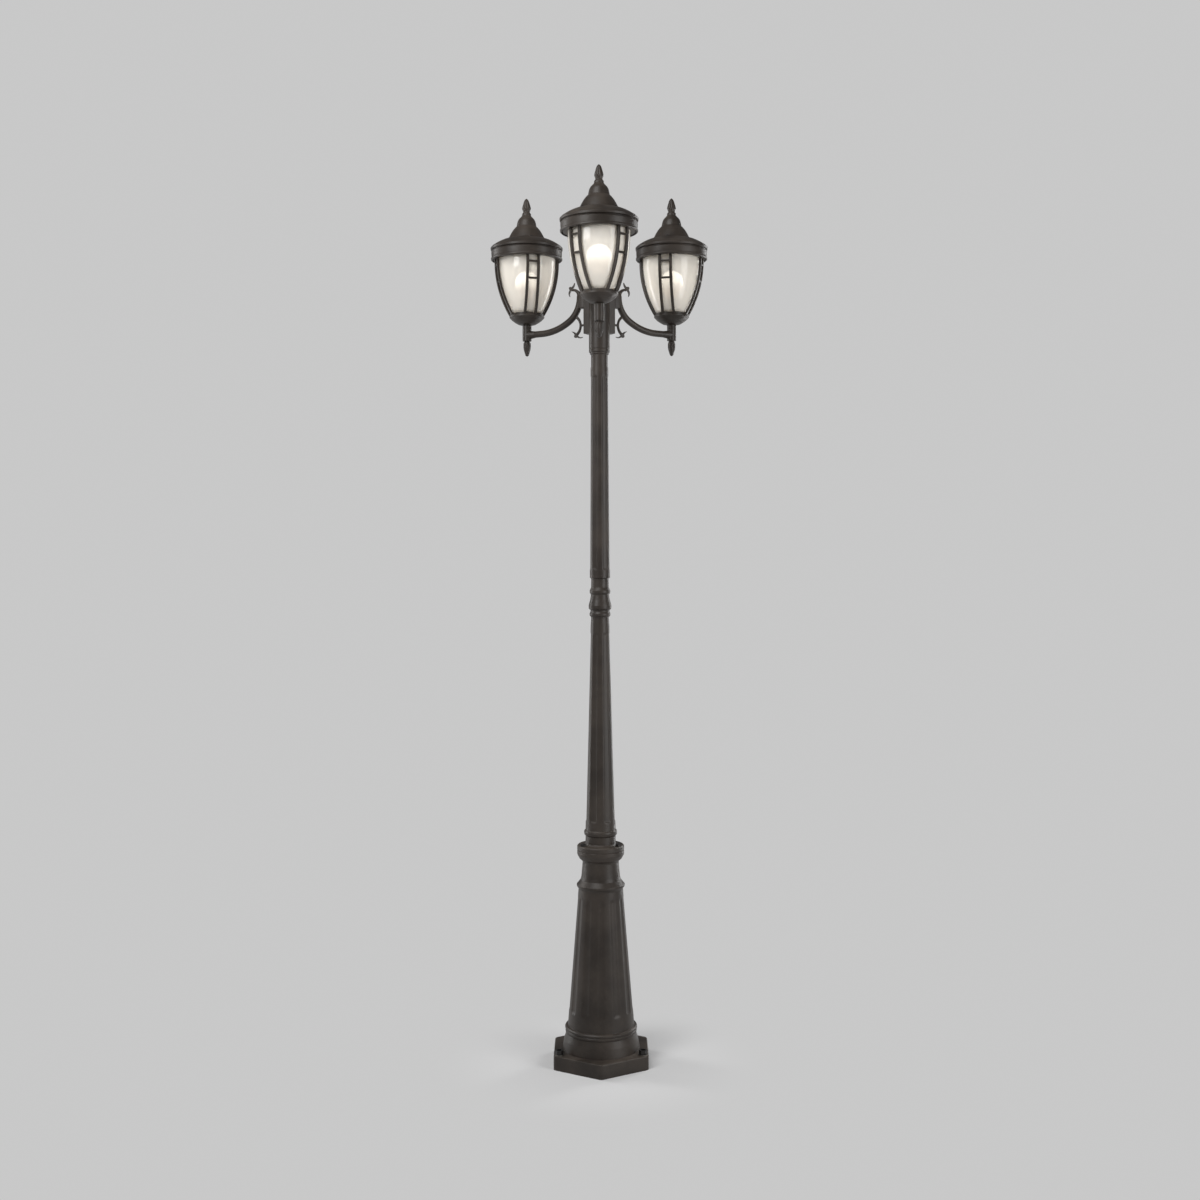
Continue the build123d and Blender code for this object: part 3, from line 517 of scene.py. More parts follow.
PAINT = OutdoorPaint("outdoor_paint")
ZINC = PlainMetal("zinc_plate", colour=linear(120, 117, 112), stain=linear(84, 76, 68), roughness=0.42)
DRAWN_STEEL = PlainMetal("drawn_steel", colour=linear(126, 126, 128), stain=linear(92, 80, 70))
BLACK_STEEL = PlainMetal("black_steel", colour=linear(44, 42, 41), stain=linear(30, 28, 27), metallic=0.6)
CAP_SHELL = PlainMetal("cap_shell", colour=linear(196, 192, 184), stain=linear(150, 145, 135), roughness=0.28)
CERAMIC = Mineral("ceramic")
NYLON = Mineral("nylon", colour=linear(222, 220, 214), shade=linear(204, 202, 194), roughness=0.4)


# ---------------------------------------------------------------- outlines and meshes
def arc_points(start: Point, middle: Point, end: Point, steps: int) -> list[Point]:
    """Points along the round arc through three points.

    Args:
        start: First point.
        middle: A point that the arc passes through.
        end: Last point.
        steps: How many runs the arc is divided into.

    Returns:
        The points, from start to end.
    """
    (x1, y1), (x2, y2), (x3, y3) = start, middle, end
    twice = 2 * (x1 * (y2 - y3) + x2 * (y3 - y1) + x3 * (y1 - y2))
    s1, s2, s3 = x1 ** 2 + y1 ** 2, x2 ** 2 + y2 ** 2, x3 ** 2 + y3 ** 2
    centre = Vector(((s1 * (y2 - y3) + s2 * (y3 - y1) + s3 * (y1 - y2)) / twice,
                     (s1 * (x3 - x2) + s2 * (x1 - x3) + s3 * (x2 - x1)) / twice))
    first, mid, last = (Vector(p) - centre for p in (start, middle, end))
    turn = first.angle_signed(last)
    if (turn > 0) != (first.angle_signed(mid) > 0) or abs(first.angle_signed(mid)) > abs(turn):
        turn -= math.copysign(math.tau, turn)
    spots = []
    for step in range(steps + 1):
        spot = centre + Matrix.Rotation(-turn * step / steps, 2) @ first
        spots.append((spot.x, spot.y))
    return spots


def profile(foot: float, rows: Iterable[tuple[float, float, float]]) -> list[Point]:
    """Work out outline points from a table.

    Args:
        foot: The height that the rows are counted from.
        rows: A radius, the millimetres added to it, and the millimetres above the foot.

    Returns:
        Radius and height of each point.
    """
    return [(radius + out * MM, foot + up * MM) for radius, out, up in rows]


def fluted_rows(low: Point, high: Point, low_margin: float, high_margin: float, coarse: int) -> list[Point]:
    """Points up a tapered wall, close together where its flutes end.

    Args:
        low: Radius and height of the wall's lower end.
        high: Radius and height of its upper end.
        low_margin: Plain length below the flutes.
        high_margin: Plain length above them.
        coarse: Runs between the two fine parts.

    Returns:
        Radius and height of each point.
    """
    (low_radius, base), (high_radius, top) = low, high
    spread = [base, base + low_margin - 2 * FINE_ROW]
    spread += [base + low_margin + FINE_ROW * step for step in range(FINE_ROWS)]
    start, end = spread[-1], top - high_margin - (FINE_ROWS - 1) * FINE_ROW
    spread += [start + (end - start) * step / coarse for step in range(1, coarse)]
    spread += [end + FINE_ROW * step for step in range(FINE_ROWS)]
    spread += [top - high_margin + 2 * FINE_ROW, top]
    slope = (high_radius - low_radius) / (top - base)
    return [(low_radius + slope * (height - base), height) for height in spread]


def rounded(points: Sequence[Point], radius: float, steps: int = 3, closed: bool = False) -> list[Point]:
    """Round the corners of an outline.

    Args:
        points: The outline's corners.
        radius: Fillet radius, cut down where a run is too short for it.
        steps: Runs in each fillet.
        closed: Whether the last point joins the first.

    Returns:
        The outline with its corners rounded.
    """
    count = len(points)
    made: list[Point] = []
    for index, point in enumerate(points):
        if not closed and index in (0, count - 1):
            made.append(tuple(point))
            continue
        here = Vector(point)
        back = Vector(points[index - 1]) - here
        ahead = Vector(points[(index + 1) % count]) - here
        bend = math.pi - back.angle(ahead)
        if bend < STRAIGHT:
            made.append(tuple(point))
            continue
        cut = min(radius * math.tan(bend / 2), 0.45 * back.length, 0.45 * ahead.length)
        low, high = here + back.normalized() * cut, here + ahead.normalized() * cut
        for step in range(steps + 1):
            share = step / steps
            spot = low * (1 - share) ** 2 + here * 2 * share * (1 - share) + high * share ** 2
            made.append((spot.x, spot.y))
    return made


def shell(outline: Sequence[Point], wall: float) -> list[Point]:
    """The outline moved towards the axis and down by a wall's thickness, in reverse order.

    Args:
        outline: Outer radius and height points, from the rim to the axis.
        wall: Thickness of the wall.

    Returns:
        The inner points, from the axis to the rim.
    """
    inner: list[Point] = []
    for index, (radius, height) in enumerate(outline):
        before = Vector(outline[max(index - 1, 0)])
        after = Vector(outline[min(index + 1, len(outline) - 1)])
        run = (after - before).normalized()
        inner.append((max(radius - run.y * wall, 0.0), height + run.x * wall))
    return inner[::-1]


def spun(points: Sequence[Point], steps: int = 96, closed: bool = False) -> bmesh.types.BMesh:
    """Spin an outline round the Z axis.

    Args:
        points: Radius and height of each point.
        steps: How many faces go round.
        closed: Whether the last point joins the first, for a hollow wall.

    Returns:
        The spun mesh.
    """
    mesh = bmesh.new()
    corners = [mesh.verts.new((radius, 0.0, height)) for radius, height in points]
    edges = [mesh.edges.new(pair) for pair in zip(corners, corners[1:])]
    if closed:
        edges.append(mesh.edges.new((corners[-1], corners[0])))
    bmesh.ops.spin(mesh, geom=corners + edges, cent=(0, 0, 0), axis=(0, 0, 1), dvec=(0, 0, 0),
                   angle=math.tau, steps=steps, use_merge=True, use_duplicate=False)
    tidy(mesh)
    return mesh


def tidy(mesh: bmesh.types.BMesh, distance: float = 1e-6) -> None:
    """Close the seams and poles and turn the faces outwards.

    Args:
        mesh: The mesh to tidy.
        distance: How near two corners lie to be merged.
    """
    bmesh.ops.remove_doubles(mesh, verts=mesh.verts, dist=distance)
    bmesh.ops.dissolve_degenerate(mesh, edges=mesh.edges, dist=distance)
    bmesh.ops.recalc_face_normals(mesh, faces=mesh.faces)


def swept(path: Sequence[Point], radii: Sequence[float], sides: int = 20) -> bmesh.types.BMesh:
    """Draw a round bar along a path in the XZ plane.

    Args:
        path: X and Z of each point on the bar's centre line.
        radii: The bar's radius at each point.
        sides: How many faces go round.

    Returns:
        The bar, closed at both ends.
    """
    mesh = bmesh.new()
    start = bmesh.ops.create_circle(mesh, cap_ends=True, segments=sides, radius=1.0)
    ring = start["verts"]
    spots = [Vector((x, 0.0, z)) for x, z in path]
    last = Matrix.Identity(4)
    for index, (spot, radius) in enumerate(zip(spots, radii)):
        ahead = spots[min(index + 1, len(spots) - 1)] - spots[max(index - 1, 0)]
        turn = Matrix.Rotation(math.atan2(ahead.x, ahead.z), 4, "Y")
        frame = Matrix.Translation(spot) @ turn @ Matrix.Diagonal((radius, radius, 1.0, 1.0))
        if index:
            face = next(f for f in ring[0].link_faces if len(f.verts) == sides)
            grown = bmesh.ops.extrude_discrete_faces(mesh, faces=[face])["faces"][0]
            ring = list(grown.verts)
        bmesh.ops.transform(mesh, matrix=frame @ last.inverted(), verts=ring)
        last = frame
    tidy(mesh)
    return mesh


def extruded(corners: Iterable[Sequence[float]], along: Sequence[float]) -> bmesh.types.BMesh:
    """Extrude a flat face.

    Args:
        corners: The face's corners.
        along: How far and which way.

    Returns:
        The closed solid.
    """
    mesh = bmesh.new()
    face = mesh.faces.new([mesh.verts.new(corner) for corner in corners])
    grown = bmesh.ops.extrude_face_region(mesh, geom=[face])["geom"]
    far = [item for item in grown if isinstance(item, bmesh.types.BMVert)]
    bmesh.ops.translate(mesh, verts=far, vec=along)
    tidy(mesh)
    return mesh


def ease(mesh: bmesh.types.BMesh, edges: Iterable[bmesh.types.BMEdge], width: float, steps: int = 2,
         clamp: bool = False) -> bmesh.types.BMesh:
    """Bevel some edges of a mesh.

    Args:
        mesh: The mesh.
        edges: The edges to bevel.
        width: Width of the bevel.
        steps: Runs across it.
        clamp: Whether bevels that would meet are narrowed.

    Returns:
        The mesh.
    """
    bmesh.ops.bevel(mesh, geom=list(edges), offset=width, offset_type="OFFSET", affect="EDGES", segments=steps,
                    profile=0.5, material=-1, clamp_overlap=clamp)
    return mesh


def plate(outline: Sequence[Point], thickness: float) -> bmesh.types.BMesh:
    """Extrude a flat outline in the XZ plane to both sides.

    Args:
        outline: X and Z of each corner.
        thickness: Thickness along Y.

    Returns:
        The closed plate.
    """
    return extruded([(x, -thickness / 2, z) for x, z in outline], (0, thickness, 0))


def block(low: Sequence[float], high: Sequence[float], edge: float) -> bmesh.types.BMesh:
    """A box between two corners with eased edges.

    Args:
        low: Lowest corner.
        high: Highest corner.
        edge: Width of the eased edges.

    Returns:
        The box.
    """
    mesh = bmesh.new()
    bmesh.ops.create_cube(mesh, size=1.0)
    span = Vector(high) - Vector(low)
    middle = (Vector(high) + Vector(low)) / 2
    moved(mesh, Matrix.Translation(middle) @ Matrix.Diagonal((*span, 1.0)))
    return ease(mesh, mesh.edges, edge)


def joined(parts: Iterable[bmesh.types.BMesh]) -> bmesh.types.BMesh:
    """Put several meshes into one and free them.

    Args:
        parts: The meshes.

    Returns:
        One mesh with all their faces.
    """
    whole = bmesh.new()
    for part in parts:
        store = bpy.data.meshes.new("part")
        part.to_mesh(store)
        whole.from_mesh(store)
        part.free()
        bpy.data.meshes.remove(store)
    return whole


def moved(mesh: bmesh.types.BMesh, matrix: Matrix) -> bmesh.types.BMesh:
    """Move a mesh by a matrix and return it."""
    bmesh.ops.transform(mesh, matrix=matrix, verts=mesh.verts)
    return mesh


def ring_of(mesh: bmesh.types.BMesh, angles: Sequence[float]) -> bmesh.types.BMesh:
    """Repeat a mesh round the Z axis.

    Args:
        mesh: The mesh at angle 0, which is freed.
        angles: The angles of the copies, in degrees.

    Returns:
        One mesh with all the copies.
    """
    copies = [moved(mesh.copy(), Matrix.Rotation(math.radians(a), 4, "Z")) for a in angles]
    mesh.free()
    return joined(copies)


def flute(mesh: bmesh.types.BMesh, count: int, share: float, first: float, low: float, high: float,
          hollow: float, corner: float) -> None:
    """Press hollow flutes into a spun wall by moving its points.

    Args:
        mesh: The spun wall.
        count: How many flutes go round.
        share: Flute width as a share of its pitch.
        first: Angle of the first flute's middle, in degrees.
        low: Height of the flutes' lower ends.
        high: Height of their upper ends.
        hollow: Depth of a flute below the flat chord of its edges, as a share of half its width.
        corner: Radius of the flutes' rounded corners.
    """
    pitch = math.tau / count
    half = 0.5 * pitch * share
    for spot in mesh.verts:
        radius = math.hypot(spot.co.x, spot.co.y)
        if not low - FLUTE_GUARD <= spot.co.z <= high + FLUTE_GUARD or radius < AXIS:
            continue
        turn = (math.atan2(spot.co.y, spot.co.x) - math.radians(first)) / pitch
        lane = round(turn)
        part = turn - lane
        if abs(part) <= FLUTE_LANE:
            part = part / FLUTE_LANE * share / 2
        else:
            beyond = (abs(part) - FLUTE_LANE) / (0.5 - FLUTE_LANE)
            part = math.copysign(share / 2 + beyond * (0.5 - share / 2), part)
        angle = part * pitch
        reach = radius
        edge = radius * half - abs(radius * angle)
        end = min(spot.co.z - low, high - spot.co.z)
        if edge > 0 and end > 0:
            across = max(corner - edge, 0.0)
            along = max(corner - end, 0.0)
            clear = corner - math.hypot(across, along) if across and along else min(edge, end)
            chord = radius * math.cos(half) / math.cos(angle)
            width = radius * math.sin(half)
            dish = hollow * width * (1 - (angle / half) ** 2)
            depth = min(max(clear / corner, 0.0) * FLUTE_EASE, 1.0)
            reach = radius - (radius - chord + dish) * depth
        place = math.radians(first) + (lane + part) * pitch
        spot.co.x = reach * math.cos(place)
        spot.co.y = reach * math.sin(place)


def linked(name: str, data: bpy.types.ID) -> bpy.types.Object:
    """Put data into the scene as an object of that name."""
    thing = bpy.data.objects.new(name, data)
    bpy.context.scene.collection.objects.link(thing)
    return thing


def piece(word: str, mesh: bmesh.types.BMesh, side: Side | None = None, finish: Finish = PAINT,
          slot: str = "painted_castings", body: str = "post", sharp: float = SHARP) -> bpy.types.Object:
    """Make the object that stands for one of the model's nodes, and fix it to its body.

    Args:
        word: The node's name without its side.
        mesh: The mesh, which is freed.
        side: The arm that it belongs to, if any.
        finish: The finish of its surface.
        slot: The record's material slot; not used.
        body: The body that it moves with.
        sharp: Edges sharper than this angle stay crisp, in degrees.

    Returns:
        The object.
    """
    end = f"_{side.word}" if side else ""
    name = f"{word}_skin{end}"
    data = bpy.data.meshes.new(name)
    mesh.to_mesh(data)
    mesh.free()
    data.shade_smooth()
    data.set_sharp_from_angle(angle=math.radians(sharp))
    data.materials.append(finish.material())
    thing = linked(name, data)
    thing.modifiers.new("weights", "WEIGHTED_NORMAL").keep_sharp = True
    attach(thing, body)
    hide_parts(word + end)
    LOG.info("made %s, %d faces", name, len(data.polygons))
    return thing


def dress(nodes: dict[str, bpy.types.Object], name: str, finish: Finish) -> None:
    """Give a carried-over node its finish.

    Args:
        nodes: The model's nodes by name.
        name: The node to dress.
        finish: Its finish.
    """
    data = nodes[name].data
    data.materials.clear()
    data.materials.append(finish.material())
    data.polygons.foreach_set("material_index", [0] * len(data.polygons))
    LOG.info("dressed %s", name)


# ---------------------------------------------------------------- the lamp post
class Side(Enum):
    """The three arms, each with the angle that it points in, in degrees."""

    FRONT = -90.0
    LEFT = 150.0
    RIGHT = 30.0

    @property
    def word(self) -> str:
        """The side's name as the model's nodes end in it."""
        return self.name.lower()



@dataclass
class BaseCasting:
    """Hexagonal foot, plinth, fluted barrel, neck and flange in one casting."""

    across_flats: float = 238 * MM
    foot_height: float = 36 * MM
    corner_radius: float = 12 * MM
    foot_chamfer: float = 3.2 * MM
    plinth_foot: float = 98 * MM
    plinth_top: float = 88 * MM
    plinth_height: float = 42 * MM
    plinth_bead: float = 91.4 * MM
    bead_height: float = 18 * MM
    barrel_low: float = 84.2 * MM
    barrel_high: float = 56.4 * MM
    barrel_height: float = 345.5 * MM
    top_bead: float = 60.8 * MM
    top_bead_height: float = 20 * MM
    neck: float = 45.8 * MM
    neck_height: float = 52.5 * MM
    flange: float = 59.4 * MM
    flange_height: float = 26 * MM
    wall: float = 7 * MM
    flutes: int = 12
    flute_share: float = 0.62
    flute_margin: float = 18 * MM
    flute_foot_margin: float = 34 * MM
    flute_hollow: float = 0.08
    lanes: int = 24
    flute_corner: float = 9 * MM

    def outline(self) -> tuple[list[Point], float, float]:
        """The turned part's outline, and the heights that the flutes run between."""
        bead_z = self.foot_height + self.plinth_height
        barrel_z = bead_z + self.bead_height
        barrel_top = barrel_z + self.barrel_height
        neck_z = barrel_top + self.top_bead_height
        flange_z = neck_z + self.neck_height
        top_z = flange_z + self.flange_height
        bead = self.plinth_bead
        middle = 0.5 * (self.plinth_foot + self.plinth_top) + 1 * MM
        low_part = rounded(
            profile(self.foot_height, [(self.plinth_foot, 1, -2), (self.plinth_foot, 0, 4)])
            + [(middle, self.foot_height + 0.55 * self.plinth_height)]
            + profile(bead_z, [(self.plinth_top, 0, -1), (bead, -0.8, 1), (bead, -0.8, 5.5), (bead, -2.6, 7.5),
                               (bead, 0, 9), (bead, 0, 13), (bead, -2.6, 16)])
            + profile(barrel_z, [(self.barrel_low, 0.6, -1)]), 1.6 * MM)
        high_part = rounded(
            profile(barrel_top, [(self.barrel_high, 0.2, 1), (self.barrel_high, 1.4, 4), (self.top_bead, -1.6, 5.5),
                                 (self.top_bead, 0, 8), (self.top_bead, 0, 12), (self.top_bead, -2, 14),
                                 (self.neck, 9.5, 18.5)])
            + profile(neck_z, [(self.neck, 5.2, 4), (self.neck, 3.2, 12), (self.neck, 0.8, 38)])
            + profile(flange_z, [(self.neck, 0, -3), (self.neck, 1.5, 0), (self.flange, -6, 5),
                                 (self.flange, -0.6, 15), (self.flange, 0, 18)])
            + [(self.flange, top_z), (self.neck - self.wall, top_z)], 2 * MM)
        inner = [
            (self.neck - self.wall, neck_z + 15 * MM),
            (self.barrel_high - self.wall - 2 * MM, barrel_top),
            (self.barrel_low - self.wall - 2 * MM, barrel_z),
            (self.plinth_top - self.wall, bead_z),
            (self.plinth_foot - self.wall - 1 * MM, self.foot_height - 2 * MM),
        ]
        barrel = fluted_rows((self.barrel_low, barrel_z), (self.barrel_high, barrel_top), self.flute_foot_margin,
                             self.flute_margin, 16)
        ring = low_part + barrel + high_part + inner
        return ring, barrel_z + self.flute_foot_margin, barrel_top - self.flute_margin

    def foot(self) -> bmesh.types.BMesh:
        """The hexagonal plate, with rounded corners and a chamfered top."""
        reach = self.across_flats / 2 / math.cos(math.radians(30))
        corners = [(reach * math.cos(math.radians(a)), reach * math.sin(math.radians(a)))
                   for a in range(-90, 270, 60)]
        outline = rounded(corners, self.corner_radius, 6, closed=True)
        mesh = extruded([(x, y, 0.0) for x, y in outline], (0, 0, self.foot_height))
        upper = max(mesh.faces, key=lambda face: face.calc_center_median().z)
        return ease(mesh, upper.edges, self.foot_chamfer, 3)

    def build(self) -> bpy.types.Object:
        """Build and dress the casting.

        Returns:
            The casting's object.
        """
        ring, low, high = self.outline()
        body = spun(ring, self.flutes * self.lanes, closed=True)
        flute(body, self.flutes, self.flute_share, Side.FRONT.value, low, high, self.flute_hollow,
              self.flute_corner)
        return piece("base_casting", joined([body, self.foot()]))


@dataclass
class PostTube:
    """One tapered, fluted length of post."""

    word: str
    low: Point
    high: Point
    foot_rows: list[Point]
    head_rows: list[Point]
    bore: float
    flutes: int = 6
    first_flute: float = -60.0
    flute_corner: float = 5 * MM
    flute_share: float = 0.6
    flute_margin: float = 20 * MM
    flute_hollow: float = 0.08
    lanes: int = 36

    def build(self) -> bpy.types.Object:
        """Build and dress the tube.

        Returns:
            The tube's object.
        """
        wall = fluted_rows(self.low, self.high, self.flute_margin, self.flute_margin, 20)
        outer = rounded(self.foot_rows, 2 * MM) + wall + rounded(self.head_rows, 2 * MM)
        inner = [(self.bore, outer[-1][1]), (self.bore, outer[0][1])]
        mesh = spun(outer + inner, self.flutes * self.lanes, closed=True)
        flute(mesh, self.flutes, self.flute_share, self.first_flute, self.low[1] + self.flute_margin,
              self.high[1] - self.flute_margin, self.flute_hollow, self.flute_corner)
        return piece(self.word, mesh)


@dataclass
class Posts:
    """The two post tubes and the turned ring between them."""

    lower: tuple[float, float] = (38.2 * MM, 23.6 * MM)
    upper: tuple[float, float] = (25.4 * MM, 22.0 * MM)
    flange: float = 59.4 * MM
    flange_height: float = 14 * MM
    foot: float = 38.6 * MM
    foot_height: float = 25 * MM
    foot_bead: float = 42.0 * MM
    foot_bead_height: float = 14 * MM
    lower_neck: float = 18 * MM
    upper_low_neck: float = 24 * MM
    upper_top_neck: float = 38 * MM
    upper_neck: float = 20.9 * MM
    ring_end: float = 22.4 * MM
    ring: float = 28.6 * MM
    ring_bead: float = 26.4 * MM
    collar_proud: float = 2.6 * MM
    collar_height: float = 4 * MM
    bore: float = 13.8 * MM
    base_top: float = 540 * MM
    ring_shift: float = 3.5 * MM
    bolt_circle: float = 50.5 * MM
    bolt_head: float = 7.5 * MM
    bolt_angles: tuple[float, ...] = (-30.0, 90.0, 210.0)

    def build(self) -> list[bpy.types.Object]:
        """Build and dress the posts and their ring.

        Returns:
            The posts, their ring and the flange bolts.
        """
        knop_low, knop_high = (corner.z + self.ring_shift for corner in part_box("knop_ring"))
        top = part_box("hub_casting")[0].z
        foot_z = self.base_top + self.flange_height
        bead_z = foot_z + self.foot_height
        tube_z = bead_z + self.foot_bead_height
        bead_middle = bead_z + 0.5 * self.foot_bead_height
        lower_foot = (
            profile(self.base_top, [(self.flange, -1, 0), (self.flange, 0, 2)])
            + profile(foot_z, [(self.flange, 0, -3), (self.flange, -3, 0), (self.foot, 4, 0), (self.foot, 0, 4)])
            + profile(bead_z, [(self.foot, -0.6, -2), (self.foot_bead, -1, 1)])
            + profile(bead_middle, [(self.foot_bead, 0, 0), (self.foot_bead, -1, 4)])
            + profile(tube_z, [(self.lower[0], 0.8, -1)]))
        upper_z, neck_z = knop_high + self.upper_low_neck, top - self.upper_top_neck
        proud = self.upper_neck + self.collar_proud
        upper_foot = [(self.ring_end, knop_high)] + profile(upper_z, [(self.ring_end, -0.3, -2)])
        upper_head = (profile(neck_z, [(self.upper_neck, 0, 3)])
                      + profile(top - self.collar_height, [(self.upper_neck, 0, -1), (proud, 0, 0)])
                      + [(proud, top)])
        tubes = [
            PostTube("lower_post", (self.lower[0], tube_z), (self.lower[1], knop_low - self.lower_neck),
                     lower_foot, [(self.ring_end, knop_low)], self.bore),
            PostTube("upper_post", (self.upper[0], upper_z), (self.upper[1], neck_z), upper_foot, upper_head,
                     self.bore),
        ]
        return [tube.build() for tube in tubes] + [self.knop(knop_low, knop_high), self.bolts(foot_z)]

    def bolts(self, seat: float) -> bpy.types.Object:
        """Build and dress the hexagon heads on the flange.

        Args:
            seat: Height of the flange's upper face.

        Returns:
            The bolts' object.
        """
        head = spun(rounded([(0.0, seat - 12 * MM), (4 * MM, seat - 12 * MM), (4 * MM, seat)], 0.5 * MM), 24)
        cap = spun([(0.0, seat - 0.4 * MM), (self.bolt_head, seat - 0.4 * MM), (self.bolt_head, seat + 5 * MM),
                    (0.85 * self.bolt_head, seat + 6 * MM), (0.0, seat + 6 * MM)], 6)
        bolt = moved(joined([head, cap]), Matrix.Translation((self.bolt_circle, 0, 0)))
        return piece("flange_bolts", ring_of(bolt, self.bolt_angles), finish=BLACK_STEEL, slot="black_screws",
                     sharp=30)

    def knop(self, low: float, high: float) -> bpy.types.Object:
        """Build and dress the turned ring.

        Args:
            low: Height of its lower end.
            high: Height of its upper end.

        Returns:
            The ring's object.
        """
        end, bead, ring = self.ring_end, self.ring_bead, self.ring
        outline = rounded(profile(low, [
            (end, 0.6, 0), (end, 0.6, 2), (bead, 0, 5), (bead, 0, 10), (bead, -2.4, 15), (bead, -2.4, 19),
            (ring, -0.2, 22), (ring, 0, 30), (ring, -1.6, 37), (ring, -3.6, 44), (ring, -5, 52), (ring, -5.8, 58),
            (bead, -0.6, 62), (bead, -0.4, 68), (bead, -2.6, 73)]) + [(end, high)], 4 * MM, 4)
        mesh = spun(outline + [(self.bore + 3 * MM, high), (self.bore + 3 * MM, low)], 96, closed=True)
        return piece("knop_ring", mesh)


@dataclass
class Hub:
    """Sleeve on the post's top, three wings for the arms and a cap."""

    sleeve: float = 26 * MM
    sleeve_height: float = 49.5 * MM
    band_height: float = 9 * MM
    wing: float = 40 * MM
    wing_width: float = 22 * MM
    bore: float = 17.7 * MM

    def build(self) -> list[bpy.types.Object]:
        """Build and dress the hub and its cap.

        Returns:
            The two objects.
        """
        low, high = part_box("hub_casting")[0].z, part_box("hub_casting")[1].z
        wings_low = low + self.sleeve_height
        outline = rounded(
            profile(low, [(self.sleeve, -2, 0), (self.sleeve, 0, 1.6)])
            + profile(low + self.band_height, [(self.sleeve, 0, -1), (self.sleeve, -1.2, 0), (self.sleeve, 0, 1)])
            + [(self.sleeve, high), (self.bore, high), (self.bore, low)], 1.2 * MM, 3, closed=True)
        wing = block((0.7 * self.sleeve, -self.wing_width / 2, wings_low), (self.wing, self.wing_width / 2, high),
                     1.2 * MM)
        wings = ring_of(wing, [side.value for side in Side])
        hub = piece("hub_casting", joined([spun(outline, 96, closed=True), wings]))
        cap_low, cap_high = (corner.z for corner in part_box("hub_cap"))
        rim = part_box("hub_cap")[1].x
        cap_outline = rounded(
            profile(cap_low, [(self.bore, -0.5, 0)])
            + profile(high, [(self.bore, -0.5, 0.2), (rim, 0, 0.2), (rim, 0, 3), (0.8 * rim, 0, 6.5)])
            + [(0.4 * rim, cap_high - 1.2 * MM), (0.0, cap_high)], 2 * MM, 3)
        cap = piece("hub_cap", spun([(0.0, cap_low)] + cap_outline, 64))
        return [hub, cap]


